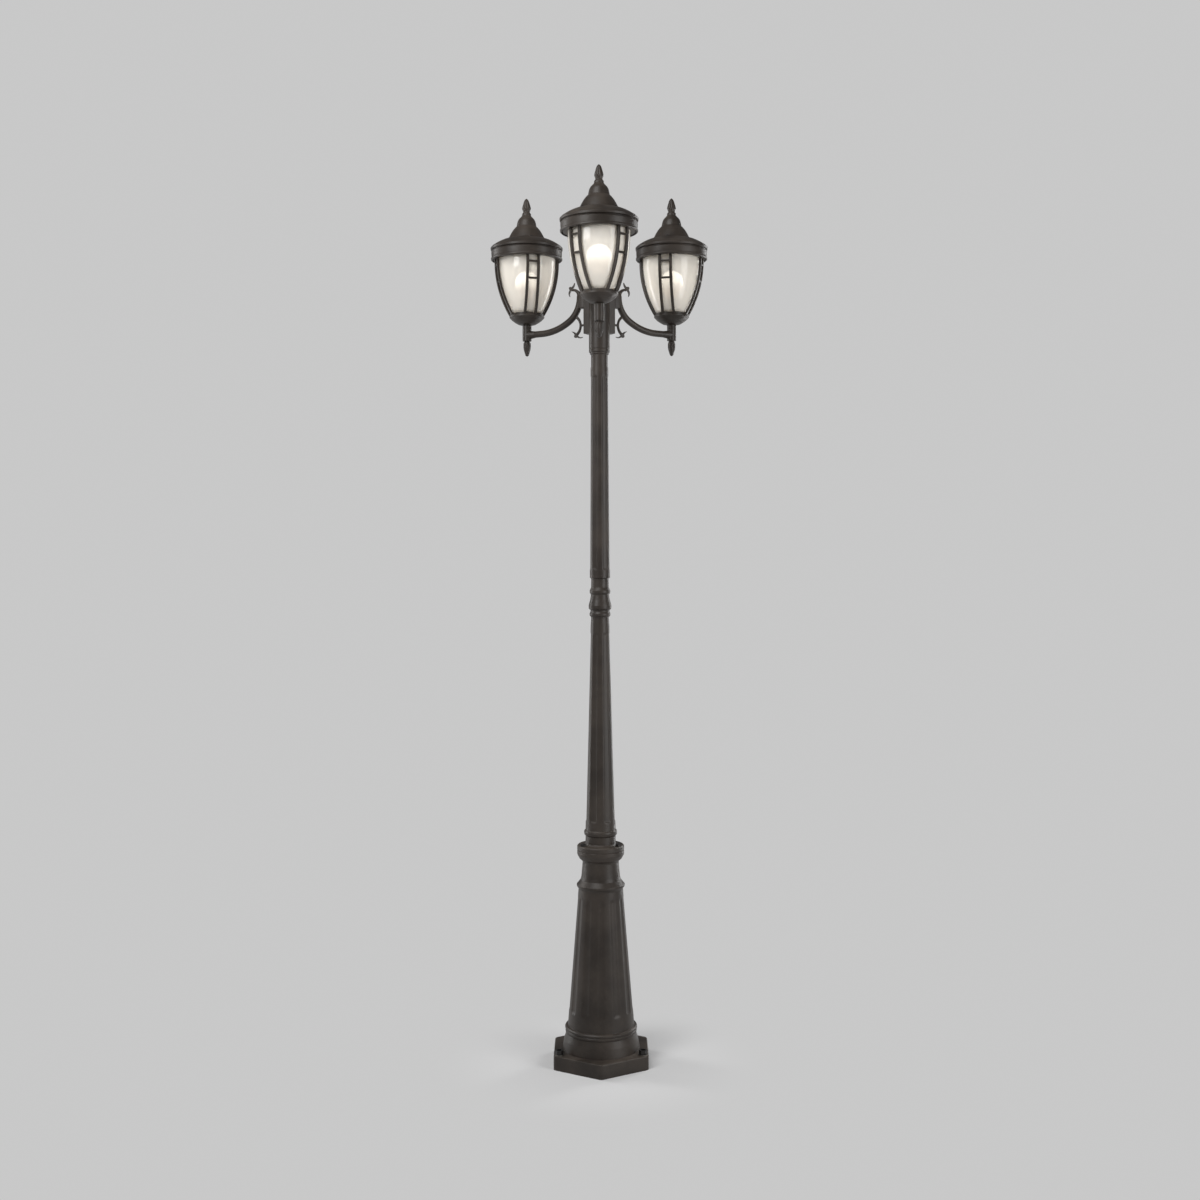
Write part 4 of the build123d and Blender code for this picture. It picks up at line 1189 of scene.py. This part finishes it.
@dataclass
class Arm:
    """Curved arm with its lantern stem, scrolls and leaves."""

    side: Side
    reach: float = 215 * MM
    tube: float = 8.2 * MM
    start: float = 56 * MM
    small_bend: float = 70 * MM
    bend_end: float = 170 * MM
    drop: float = 83 * MM
    wing: float = 40 * MM
    pad_width: float = 18 * MM
    pad_height: float = 34 * MM
    stem: float = 11.6 * MM
    stem_above: float = 25.5 * MM
    flare: float = 14 * MM
    wire: float = 3.0 * MM
    link_drop: float = 71 * MM
    leaf_thickness: float = 5 * MM
    leaf_arcs: tuple[tuple[Point, Point, Point, int], ...] = (
        ((1.1, 3.0), (1.6, 10.6), (5.9, 17.5), 6), ((5.9, 17.5), (4.6, 10.6), (5.6, 4.2), 6),
        ((5.6, 4.2), (9.2, 3.2), (10.8, 0.0), 5), ((10.8, 0.0), (9.2, -3.2), (5.6, -4.2), 5),
        ((5.6, -4.2), (3.7, -11.5), (-5.4, -17.5), 7), ((-5.4, -17.5), (0.6, -11.0), (1.1, -3.0), 7))

    def path(self, top: float, end: float) -> list[Point]:
        """The tube's centre line: two tangent arcs and a straight run.

        Args:
            top: Height of the arm's upper end.
            end: Height of its run into the stem.

        Returns:
            X and Z of each point.
        """
        width = self.bend_end - self.start
        large = ((width - self.small_bend) ** 2 + self.drop ** 2 - self.small_bend ** 2) / (
            2 * (self.drop - self.small_bend))
        joint = math.atan2(large - self.drop, width - self.small_bend)
        spots = []
        steps = 14
        for step in range(steps + 1):
            angle = joint * step / steps
            spots.append((self.start + self.small_bend * (1 - math.cos(angle)),
                          top - self.small_bend * math.sin(angle)))
        for step in range(1, steps + 1):
            angle = joint + (math.pi / 2 - joint) * step / steps
            spots.append((self.bend_end - large * math.cos(angle), end + large * (1 - math.sin(angle))))
        spots.append((self.reach - self.stem - self.flare, end))
        return spots

    def leaf(self, place: Point, direction: float) -> bmesh.types.BMesh:
        """A flat leaf with a short middle lobe between two hooks.

        Args:
            place: X and Z of the leaf's root.
            direction: The angle that the lobe points in, in degrees.

        Returns:
            The leaf.
        """
        outline = [(-3.0, 2.4), (1.1, 3.0)]
        for start, middle, end, steps in self.leaf_arcs:
            outline += arc_points(start, middle, end, steps)[1:]
        outline.append((-3.0, -2.4))
        turn = Matrix.Rotation(math.radians(-direction), 4, "Y") @ Matrix.Diagonal((MM, MM, MM, 1.0))
        mesh = plate(outline, self.leaf_thickness / MM)
        ease(mesh, [edge for edge in mesh.edges if edge.calc_face_angle(0.0) > CREASE], 0.8, clamp=True)
        return moved(mesh, Matrix.Translation((place[0], 0.0, place[1])) @ turn)

    def build(self) -> bpy.types.Object:
        """Build and dress the arm.

        Returns:
            The arm's object.
        """
        stem_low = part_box(f"drop_finial_{self.side.word}")[1].z
        stem_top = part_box(f"dish_{self.side.word}")[0].z
        end = stem_top - self.stem_above
        top = end + self.drop
        path = self.path(top, end)
        tube = swept(path, [self.tube] * len(path), 28)
        flare_x = path[-1][0]
        flare = swept([(flare_x, end), (flare_x + 0.6 * self.flare, end), (self.reach, end)],
                      [self.tube, 1.16 * self.tube, self.stem - 0.2 * MM], 28)
        stem_outline = rounded([(0.0, stem_low), (self.stem - 0.6 * MM, stem_low), (self.stem, stem_low + 1.2 * MM),
                                (self.stem, stem_top - 1.0 * MM), (self.stem - 0.8 * MM, stem_top),
                                (0.0, stem_top)], 0.8 * MM)
        stem = moved(spun(stem_outline, 48), Matrix.Translation((self.reach, 0, 0)))
        pad_z = top - 12 * MM
        pad = block((self.wing, -self.pad_width / 2, pad_z - self.pad_height / 2),
                    (self.start + 1 * MM, self.pad_width / 2, pad_z + self.pad_height / 2), 3 * MM)
        knuckle = bmesh.new()
        bmesh.ops.create_uvsphere(knuckle, u_segments=28, v_segments=16, radius=self.tube,
                                  matrix=Matrix.Translation((self.start, 0, top)))
        upper_end = (self.start + 22 * MM, top + 20 * MM)
        upper_path = arc_points((self.start, top), (self.start + 5.5 * MM, top + 12.5 * MM), upper_end, 10)
        upper = swept(upper_path, [self.wire + (self.tube - self.wire) * (1 - i / 10) ** 2 for i in range(11)], 20)
        link_x, link_z = self.start - 1.8 * MM, top - self.link_drop
        lower_end = (self.start + 8 * MM, link_z - 21 * MM)
        lower_path = arc_points((self.start + 15 * MM, link_z + 24 * MM), (link_x, link_z), lower_end, 16)
        lower = swept(lower_path, [self.wire * (1.0 + 0.25 * abs(i - 8) / 8) for i in range(17)], 20)
        link = swept([(self.wing, link_z), (0.5 * (self.wing + link_x), link_z), (link_x, link_z)],
                     [1.25 * self.wire, 0.9 * self.wire, 1.1 * self.wire], 20)
        parts = [tube, flare, stem, pad, knuckle, upper, lower, link,
                 self.leaf(upper_end, 40.0), self.leaf(lower_end, -47.0)]
        whole = moved(joined(parts), Matrix.Rotation(math.radians(self.side.value), 4, "Z"))
        return piece("arm", whole, self.side)


@dataclass
class Lantern:
    """One lantern: dish, cage, glass, roof and finials, on its own axis."""

    side: Side
    reach: float = 215 * MM
    dish: float = 44.8 * MM
    dish_seat: float = 35 * MM
    dish_wall: float = 2.6 * MM
    foot: float = 43 * MM
    middle: float = 70.5 * MM
    top: float = 81 * MM
    curve_height: float = 130 * MM
    middle_share: float = 0.48
    rib_width: float = 7 * MM
    rib_depth: float = 6.5 * MM
    pair_spacing: float = 28 * MM
    bar_heights: tuple[float, ...] = (84.5 * MM, 126 * MM)
    bar_height: float = 5 * MM
    collar: float = 85.5 * MM
    screw_circle: float = 54 * MM
    ladder_angles: tuple[float, ...] = (45.0, 135.0, 225.0, 315.0)
    glass_gap: float = 1 * MM
    glass_wall: float = 3 * MM
    glass_floor: float = 31 * MM
    roof_wall: float = 2.4 * MM
    lip: float = 92.6 * MM
    band: float = 88.3 * MM
    bead: float = 91.6 * MM
    shoulder: float = 29.5 * MM
    bell: float = 25.5 * MM
    neck: float = 8.2 * MM
    finial: float = 11.6 * MM
    drop: float = 9.7 * MM
    roof_overhang: float = -3 * MM
    roof_rise: float = 3 * MM
    petals: int = 8
    bulb: float = 30 * MM

    def placed(self, mesh: bmesh.types.BMesh) -> bmesh.types.BMesh:
        """Move a mesh from the origin's axis to the lantern's."""
        turn = Matrix.Rotation(math.radians(self.side.value), 4, "Z")
        return moved(mesh, turn @ Matrix.Translation((self.reach, 0, 0)))

    def made(self, word: str, mesh: bmesh.types.BMesh, **look: Any) -> bpy.types.Object:
        """Move a mesh to the lantern and make a piece of it.

        Args:
            word: The node's name without its side.
            mesh: The piece on the origin's axis.
            look: What piece takes besides.

        Returns:
            The piece.
        """
        return piece(word, self.placed(mesh), self.side, **look)

    def span(self, word: str) -> tuple[float, float]:
        """Lowest and highest height of one of the lantern's nodes."""
        low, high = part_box(f"{word}_{self.side.word}")
        return low.z, high.z

    def build(self) -> list[bpy.types.Object]:
        """Build and dress the lantern.

        Returns:
            Its objects.
        """
        return [self.make_dish(), self.make_cage(), self.make_glass(), self.make_roof(), self.make_finial(),
                self.make_drop(), self.make_bulb()]

    def make_dish(self) -> bpy.types.Object:
        """The bottom dish that carries cage and glass."""
        low, high = self.span("dish")
        rim = self.span("cage")[0]
        dish, seat = self.dish, self.dish_seat
        outer = rounded(
            profile(low, [(0.0, 5.3, 0), (0.31 * dish, 0, 0), (0.5 * dish, 0, 1.8), (0.68 * dish, 0, 6.5),
                          (0.85 * dish, 0, 12)]) + profile(rim, [(dish, -1, -6)]), 8 * MM, 4)
        outer += rounded(profile(rim, [(dish, 0, -5), (dish, 0, -1), (dish, -1, 0), (seat, 0, 0)])
                         + profile(high, [(seat, 0, -3), (seat, -1, -3)]), 0.8 * MM)
        inner = profile(high, [(seat - self.dish_wall, -3, -4)]) + profile(low, [(0.7 * dish, 0, 9)])
        inner += [(0.3 * dish, low + self.dish_wall), (5.3 * MM, low + self.dish_wall)]
        return self.made("dish", spun(outer + inner, 96, closed=True))

    def rib_points(self, shift: float, low: float, steps: int) -> list[Point]:
        """The ribs' curve, moved inwards.

        Args:
            shift: How far inwards.
            low: Height of the cage's foot.
            steps: Runs along the curve.

        Returns:
            Radius and height of each point.
        """
        return arc_points(
            (self.foot - shift, low),
            (self.middle - 0.9 * shift, low + self.middle_share * self.curve_height + 0.35 * shift),
            (self.top - shift, low + self.curve_height), steps)

    def make_cage(self) -> bpy.types.Object:
        """Foot ring, four ladders of curved ribs with crossbars, and the collar."""
        low, high = self.span("cage")
        collar_low = self.span("roof")[0] + 4 * MM
        outer = self.rib_points(0.0, low, 16) + [(self.top, collar_low + 1 * MM)]
        inner = self.rib_points(self.rib_depth, low, 16) + [(self.top - self.rib_depth, collar_low + 1 * MM)]
        ribs = []
        for side in (-1, 1):
            rib = plate(outer + inner[::-1], self.rib_width)
            ease(rib, [edge for edge in rib.edges if abs(edge.calc_face_angle(0.0)) > CREASE], 1.1 * MM)
            ribs.append(moved(rib, Matrix.Translation((0, side * self.pair_spacing / 2, 0))))
        heights = [spot[1] for spot in outer]
        for height in self.bar_heights:
            place = low + height
            index = next(i for i, value in enumerate(heights) if value > place)
            (r1, z1), (r2, z2) = outer[index - 1], outer[index]
            radius = r1 + (r2 - r1) * (place - z1) / (z2 - z1) - 1 * MM
            inmost = (radius - self.rib_depth + 2 * MM, -self.pair_spacing / 2, place - self.bar_height / 2)
            outmost = (radius, self.pair_spacing / 2, place + self.bar_height / 2)
            ribs.append(block(inmost, outmost, 0.9 * MM))
        ladder = ring_of(joined(ribs), self.ladder_angles)
        ring = spun(rounded([
            (self.dish_seat + 0.3 * MM, low), (self.foot + 0.8 * MM, low), (self.foot + 0.8 * MM, low + 4 * MM),
            (self.dish_seat + 0.3 * MM, low + 4 * MM)], 0.8 * MM, 3, closed=True), 96, closed=True)
        collar = spun(rounded([
            (self.top - self.rib_depth, collar_low), (self.collar, collar_low),
            (self.collar, collar_low + 8 * MM), (self.top - self.rib_depth, collar_low + 8 * MM)],
            0.8 * MM, 3, closed=True), 96, closed=True)
        lug = plate([
            (self.top - self.rib_depth + 2 * MM, collar_low + 5 * MM),
            (self.top - self.rib_depth + 2 * MM, collar_low + 8 * MM),
            (self.screw_circle + 6 * MM, high), (self.screw_circle - 6 * MM, high),
            (self.screw_circle - 6 * MM, high - 3 * MM), (self.screw_circle + 4.5 * MM, high - 3 * MM)], 9 * MM)
        lugs = ring_of(lug, self.ladder_angles)
        return self.made("cage", joined([ladder, ring, collar, lugs]))

    def make_glass(self) -> bpy.types.Object:
        """The frosted goblet inside the cage."""
        low, high = self.span("glass")
        cage_low = self.span("cage")[0]
        inset = self.rib_depth + self.glass_gap
        outer = [(self.glass_floor, low)]
        outer += [(r, z) for r, z in self.rib_points(inset, cage_low, 24) if z > low + 6 * MM]
        outer += [(self.top - inset, high)]
        inner = [(max(r - self.glass_wall, 0.5 * self.glass_floor), z) for r, z in reversed(outer)]
        inner[-1] = (self.glass_floor - self.glass_wall, low)
        mesh = spun(outer + inner, 96, closed=True)
        finish = FrostedGlass("frosted_glass", glass_low=low, glass_high=high)
        return self.made("glass", mesh, finish=finish, slot="frosted_glass", sharp=60)

    def make_roof(self) -> bpy.types.Object:
        """The roof: double rim, dished skirt and two bells."""
        low, high = self.span("roof")
        waist_z = high - 60 * MM
        low -= self.roof_overhang
        high += self.roof_rise
        lip_z = low + 24.5 * MM
        skirt_z = low + 35 * MM
        shoulder_z = high - 31 * MM
        bell_z = shoulder_z + 4 * MM
        rise = high - bell_z
        bead, band, lip = self.bead, self.band, self.lip
        rim = rounded(
            profile(low, [(bead, -1.6, 0), (bead, 0, 1.6), (bead, 0, 5), (bead, -1.8, 6.4), (bead, -1.2, 12),
                          (bead, -0.8, 21), (band, -0.6, 23)])
            + profile(lip_z, [(band, -0.6, 0), (lip, -0.4, 1.4)])
            + profile(skirt_z, [(lip, 0, -4), (lip, -4, 0)]), 1.0 * MM, 3)
        skirt = arc_points((self.lip - 5 * MM, skirt_z + 0.4 * MM),
                           (0.5 * (self.screw_circle + self.lip), waist_z - 6.6 * MM),
                           (self.screw_circle + 4 * MM, waist_z), 8)
        climb = shoulder_z - waist_z
        slope = [(self.shoulder + out * MM, waist_z + share * climb) for out, share in (
            (19.5, 0), (15.0, 0.27), (11.0, 0.51), (6.0, 0.77), (1.0, 0.96))]
        slope = rounded([skirt[-1]] + slope + [(self.shoulder, shoulder_z)], 9 * MM, 4)[1:]
        step = [(self.shoulder - 2.5 * MM, shoulder_z + 1.6 * MM), (self.bell + 0.4 * MM, bell_z - 0.4 * MM)]
        dome = [(self.bell - inwards * MM, bell_z + share * rise) for inwards, share in (
            (0, 0), (1.7, 0.33), (3.1, 0.5), (5.6, 0.67), (10.0, 0.84))]
        dome = rounded(dome + [(self.finial, high)], 9 * MM, 4)
        outer = rim + skirt + slope + rounded([slope[-1]] + step + [dome[0]], 1.2 * MM)[1:-1] + dome
        outer.append((0.0, high))
        inner = shell(outer, self.roof_wall)
        inner[-1] = (self.bead - 1.6 * MM - self.roof_wall, low)
        mesh = spun(outer + inner, 128, closed=True)
        boss = spun([(0.0, waist_z - 7.4 * MM), (3.8 * MM, waist_z - 7.4 * MM), (3.8 * MM, waist_z - 1.5 * MM),
                     (0.0, waist_z - 1.5 * MM)], 20)
        bosses = ring_of(moved(boss, Matrix.Translation((self.screw_circle, 0, 0))), self.ladder_angles)
        return self.made("roof", joined([mesh, bosses]), slot="painted_roofs", body=f"roof_{self.side.word}_group")

    def bud(self, shape: Sequence[Point], low: float, height: float, radius: float, petal_start: float,
            upwards: float) -> bmesh.types.BMesh:
        """A pointed bud with pressed petals.

        Args:
            shape: Radius and height of its outline, as shares of the greatest radius and of the length.
            low: Height of the end where it is held.
            height: Its length.
            radius: Its greatest radius.
            petal_start: Where the petals start, as a share of the length.
            upwards: 1 for a bud that points up, -1 for one that hangs.

        Returns:
            The bud.
        """
        points = rounded([(radius * r, low + upwards * height * z) for r, z in shape], 2.4 * MM, 4)
        mesh = spun([(0.0, low)] + points + [(0.0, low + upwards * height)], self.petals * 10)
        start = low + upwards * petal_start * height
        for spot in mesh.verts:
            along = upwards * (spot.co.z - start) / ((1 - petal_start) * height)
            reach = math.hypot(spot.co.x, spot.co.y)
            if along <= 0.02 or reach < AXIS:
                continue
            lane = math.atan2(spot.co.y, spot.co.x) * self.petals / math.tau
            groove = 1 - abs(2 * (lane - math.floor(lane)) - 1)
            depth = 0.16 * (1 - groove) ** 2 * min(along * 8, 1.0) * max(1 - along, 0.0) ** 0.4
            spot.co.x *= 1 - depth
            spot.co.y *= 1 - depth
        return mesh

    def make_finial(self) -> bpy.types.Object:
        """The bud on the roof, on a ring and a narrow neck."""
        low = self.span("roof")[1] + self.roof_rise
        high = self.span("roof_finial")[1]
        neck = self.neck / self.finial
        shape = [(1.0, 0.0), (1.0, 0.11), (neck + 0.13, 0.16), (neck, 0.205), (0.83, 0.31), (1.0, 0.41),
                 (0.92, 0.52), (0.82, 0.61), (0.69, 0.72), (0.58, 0.82), (0.38, 0.925), (0.1, 0.995)]
        bud = self.bud(shape, low, high - low, self.finial, 0.3, 1.0)
        return self.made("roof_finial", bud, body=f"roof_{self.side.word}_group")

    def make_drop(self) -> bpy.types.Object:
        """The bud that hangs below the stem."""
        low, high = self.span("drop_finial")
        shape = [(0.72, 0.0), (0.72, 0.064), (0.93, 0.1), (1.0, 0.205), (0.99, 0.436), (0.88, 0.59), (0.72, 0.72),
                 (0.55, 0.85), (0.5, 0.91), (0.33, 0.96), (0.1, 0.995)]
        bud = self.bud(shape, high, high - low, self.drop, 0.12, -1.0)
        return self.made("drop_finial", bud)

    def make_bulb(self) -> bpy.types.Object:
        """The lit bulb."""
        low, high = self.span("bulb_glass")
        radius = self.bulb
        centre = high - radius
        neck = [(0.0, low), (12.6 * MM, low), (13.6 * MM, low + 14 * MM)]
        body = arc_points((24 * MM, centre - 18 * MM), (radius, centre), (0.0, high), 16)
        side = arc_points(neck[-1], (17.2 * MM, low + 24 * MM), body[0], 5)[1:-1]
        finish = LitBulb("lit_bulb", bulb_top=high, bulb_low=low)
        return self.made("bulb_glass", spun(neck + side + body, 48), finish=finish, slot="bulb_glass",
                         body=f"bulb_{self.side.word}_group", sharp=60)


@dataclass
class SmallParts:
    """The model's own fasteners, lampholders and inner pieces, which keep their shapes."""

    nodes: dict[str, bpy.types.Object]
    finishes: dict[str, Finish] = field(default_factory=lambda: {
        "anchor_washers": ZINC, "anchor_nuts": BLACK_STEEL, "hub_set_screws": BLACK_STEEL,
        "joining_tube": DRAWN_STEEL, "terminal_block": NYLON})
    lantern_finishes: dict[str, Finish] = field(default_factory=lambda: {
        "threaded_tube": ZINC, "lock_nut": ZINC, "lampholder": CERAMIC, "roof_screws": BLACK_STEEL,
        "bulb_cap": CAP_SHELL})

    def dress(self) -> None:
        """Give each node its finish."""
        for name, finish in self.finishes.items():
            dress(self.nodes, name, finish)
        for side in Side:
            for word, finish in self.lantern_finishes.items():
                dress(self.nodes, f"{word}_{side.word}", finish)


@dataclass(frozen=True)
class SoftBox:
    """One soft light: where it stands, what it points at, its two sizes and its power in watts."""

    name: str
    place: tuple[float, float, float]
    target: tuple[float, float, float]
    width: float
    height: float
    power: float

    def build(self) -> None:
        """Add the light."""
        data = bpy.data.lights.new(self.name, "AREA")
        data.shape = "RECTANGLE"
        data.size = self.width
        data.size_y = self.height
        data.energy = self.power
        light = linked(self.name, data)
        light.location = self.place
        light.rotation_euler = (Vector(self.target) - Vector(self.place)).to_track_quat("-Z", "Y").to_euler()


@dataclass
class Studio:
    """Camera, lights, floor and background."""

    frame_size: int = 1200
    focal_pixels: float = 1409.0
    camera_place: tuple[float, float, float] = (0.0, -3.5447, 1.2982)
    tilt: float = -2.03
    roll: float = -0.15
    background: Colour = linear(200.5, 200.5, 200.5)
    ambient: Colour = linear(214, 214, 216)
    ambient_strength: float = 0.22
    floor_size: float = 40.0
    boxes: tuple[SoftBox, ...] = (
        SoftBox("left_box", (-1.9, -2.1, 2.7), (0.0, 0.0, 2.0), 1.1, 1.2, 40.0),
        SoftBox("top_box", (-0.8, -1.5, 3.6), (0.0, 0.0, 2.05), 1.6, 1.2, 34.0),
        SoftBox("right_box", (2.4, -1.75, 1.5), (0.0, 0.0, 1.2), 1.4, 2.5, 46.0),
        SoftBox("left_rim", (-2.4, 1.1, 1.5), (0.0, 0.0, 1.2), 0.5, 2.8, 34.0),
        SoftBox("right_rim", (1.9, 1.9, 1.4), (0.0, 0.0, 1.1), 0.5, 2.8, 30.0))

    def build(self) -> None:
        """Set up the whole studio."""
        scene = bpy.context.scene
        scene.view_settings.view_transform = "Standard"
        self.make_camera()
        self.make_world()
        self.make_floor()
        for box in self.boxes:
            box.build()

    def make_camera(self) -> None:
        """The camera at the photograph's place and angle."""
        data = bpy.data.cameras.new("camera")
        data.sensor_width = 36.0
        data.lens = data.sensor_width * self.focal_pixels / self.frame_size
        camera = linked("camera", data)
        camera.location = self.camera_place
        pitch = Matrix.Rotation(math.radians(90 + self.tilt), 4, "X")
        camera.rotation_euler = (pitch @ Matrix.Rotation(math.radians(self.roll), 4, "Z")).to_euler()
        bpy.context.scene.camera = camera

    def make_world(self) -> None:
        """A plain background for camera and transmission rays, and even light for all others, glossy among them."""
        world = bpy.data.worlds.new("studio")
        world.use_nodes = True
        bpy.context.scene.world = world
        sheet = Sheet(world.node_tree)
        seen = sheet.rays("Is Camera Ray", "Is Transmission Ray")
        light = sheet.node("ShaderNodeBackground", None, {"Color": self.ambient, "Strength": self.ambient_strength})
        plain = sheet.node("ShaderNodeBackground", None, {"Color": self.background})
        sheet.node("ShaderNodeOutputWorld", None, {"Surface": sheet.mix(seen, light, plain)})

    def make_floor(self) -> None:
        """A wide floor under the foot."""
        mesh = bmesh.new()
        bmesh.ops.create_grid(mesh, x_segments=1, y_segments=1, size=self.floor_size)
        data = bpy.data.meshes.new("floor")
        mesh.to_mesh(data)
        mesh.free()
        data.materials.append(StudioFloor("studio_floor", colour=self.background).material())
        linked("floor", data)


def main() -> None:
    """Build the lamp post, dress it and set up the studio."""
    logging.basicConfig(level=logging.INFO, format="%(message)s")
    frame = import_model()
    BaseCasting().build()
    Posts().build()
    Hub().build()
    for side in Side:
        Arm(side).build()
        Lantern(side).build()
        LOG.info("%s arm and lantern done", side.word)
    SmallParts(frame["nodes"]).dress()
    Studio().build()


if __name__ == "__main__":
    main()
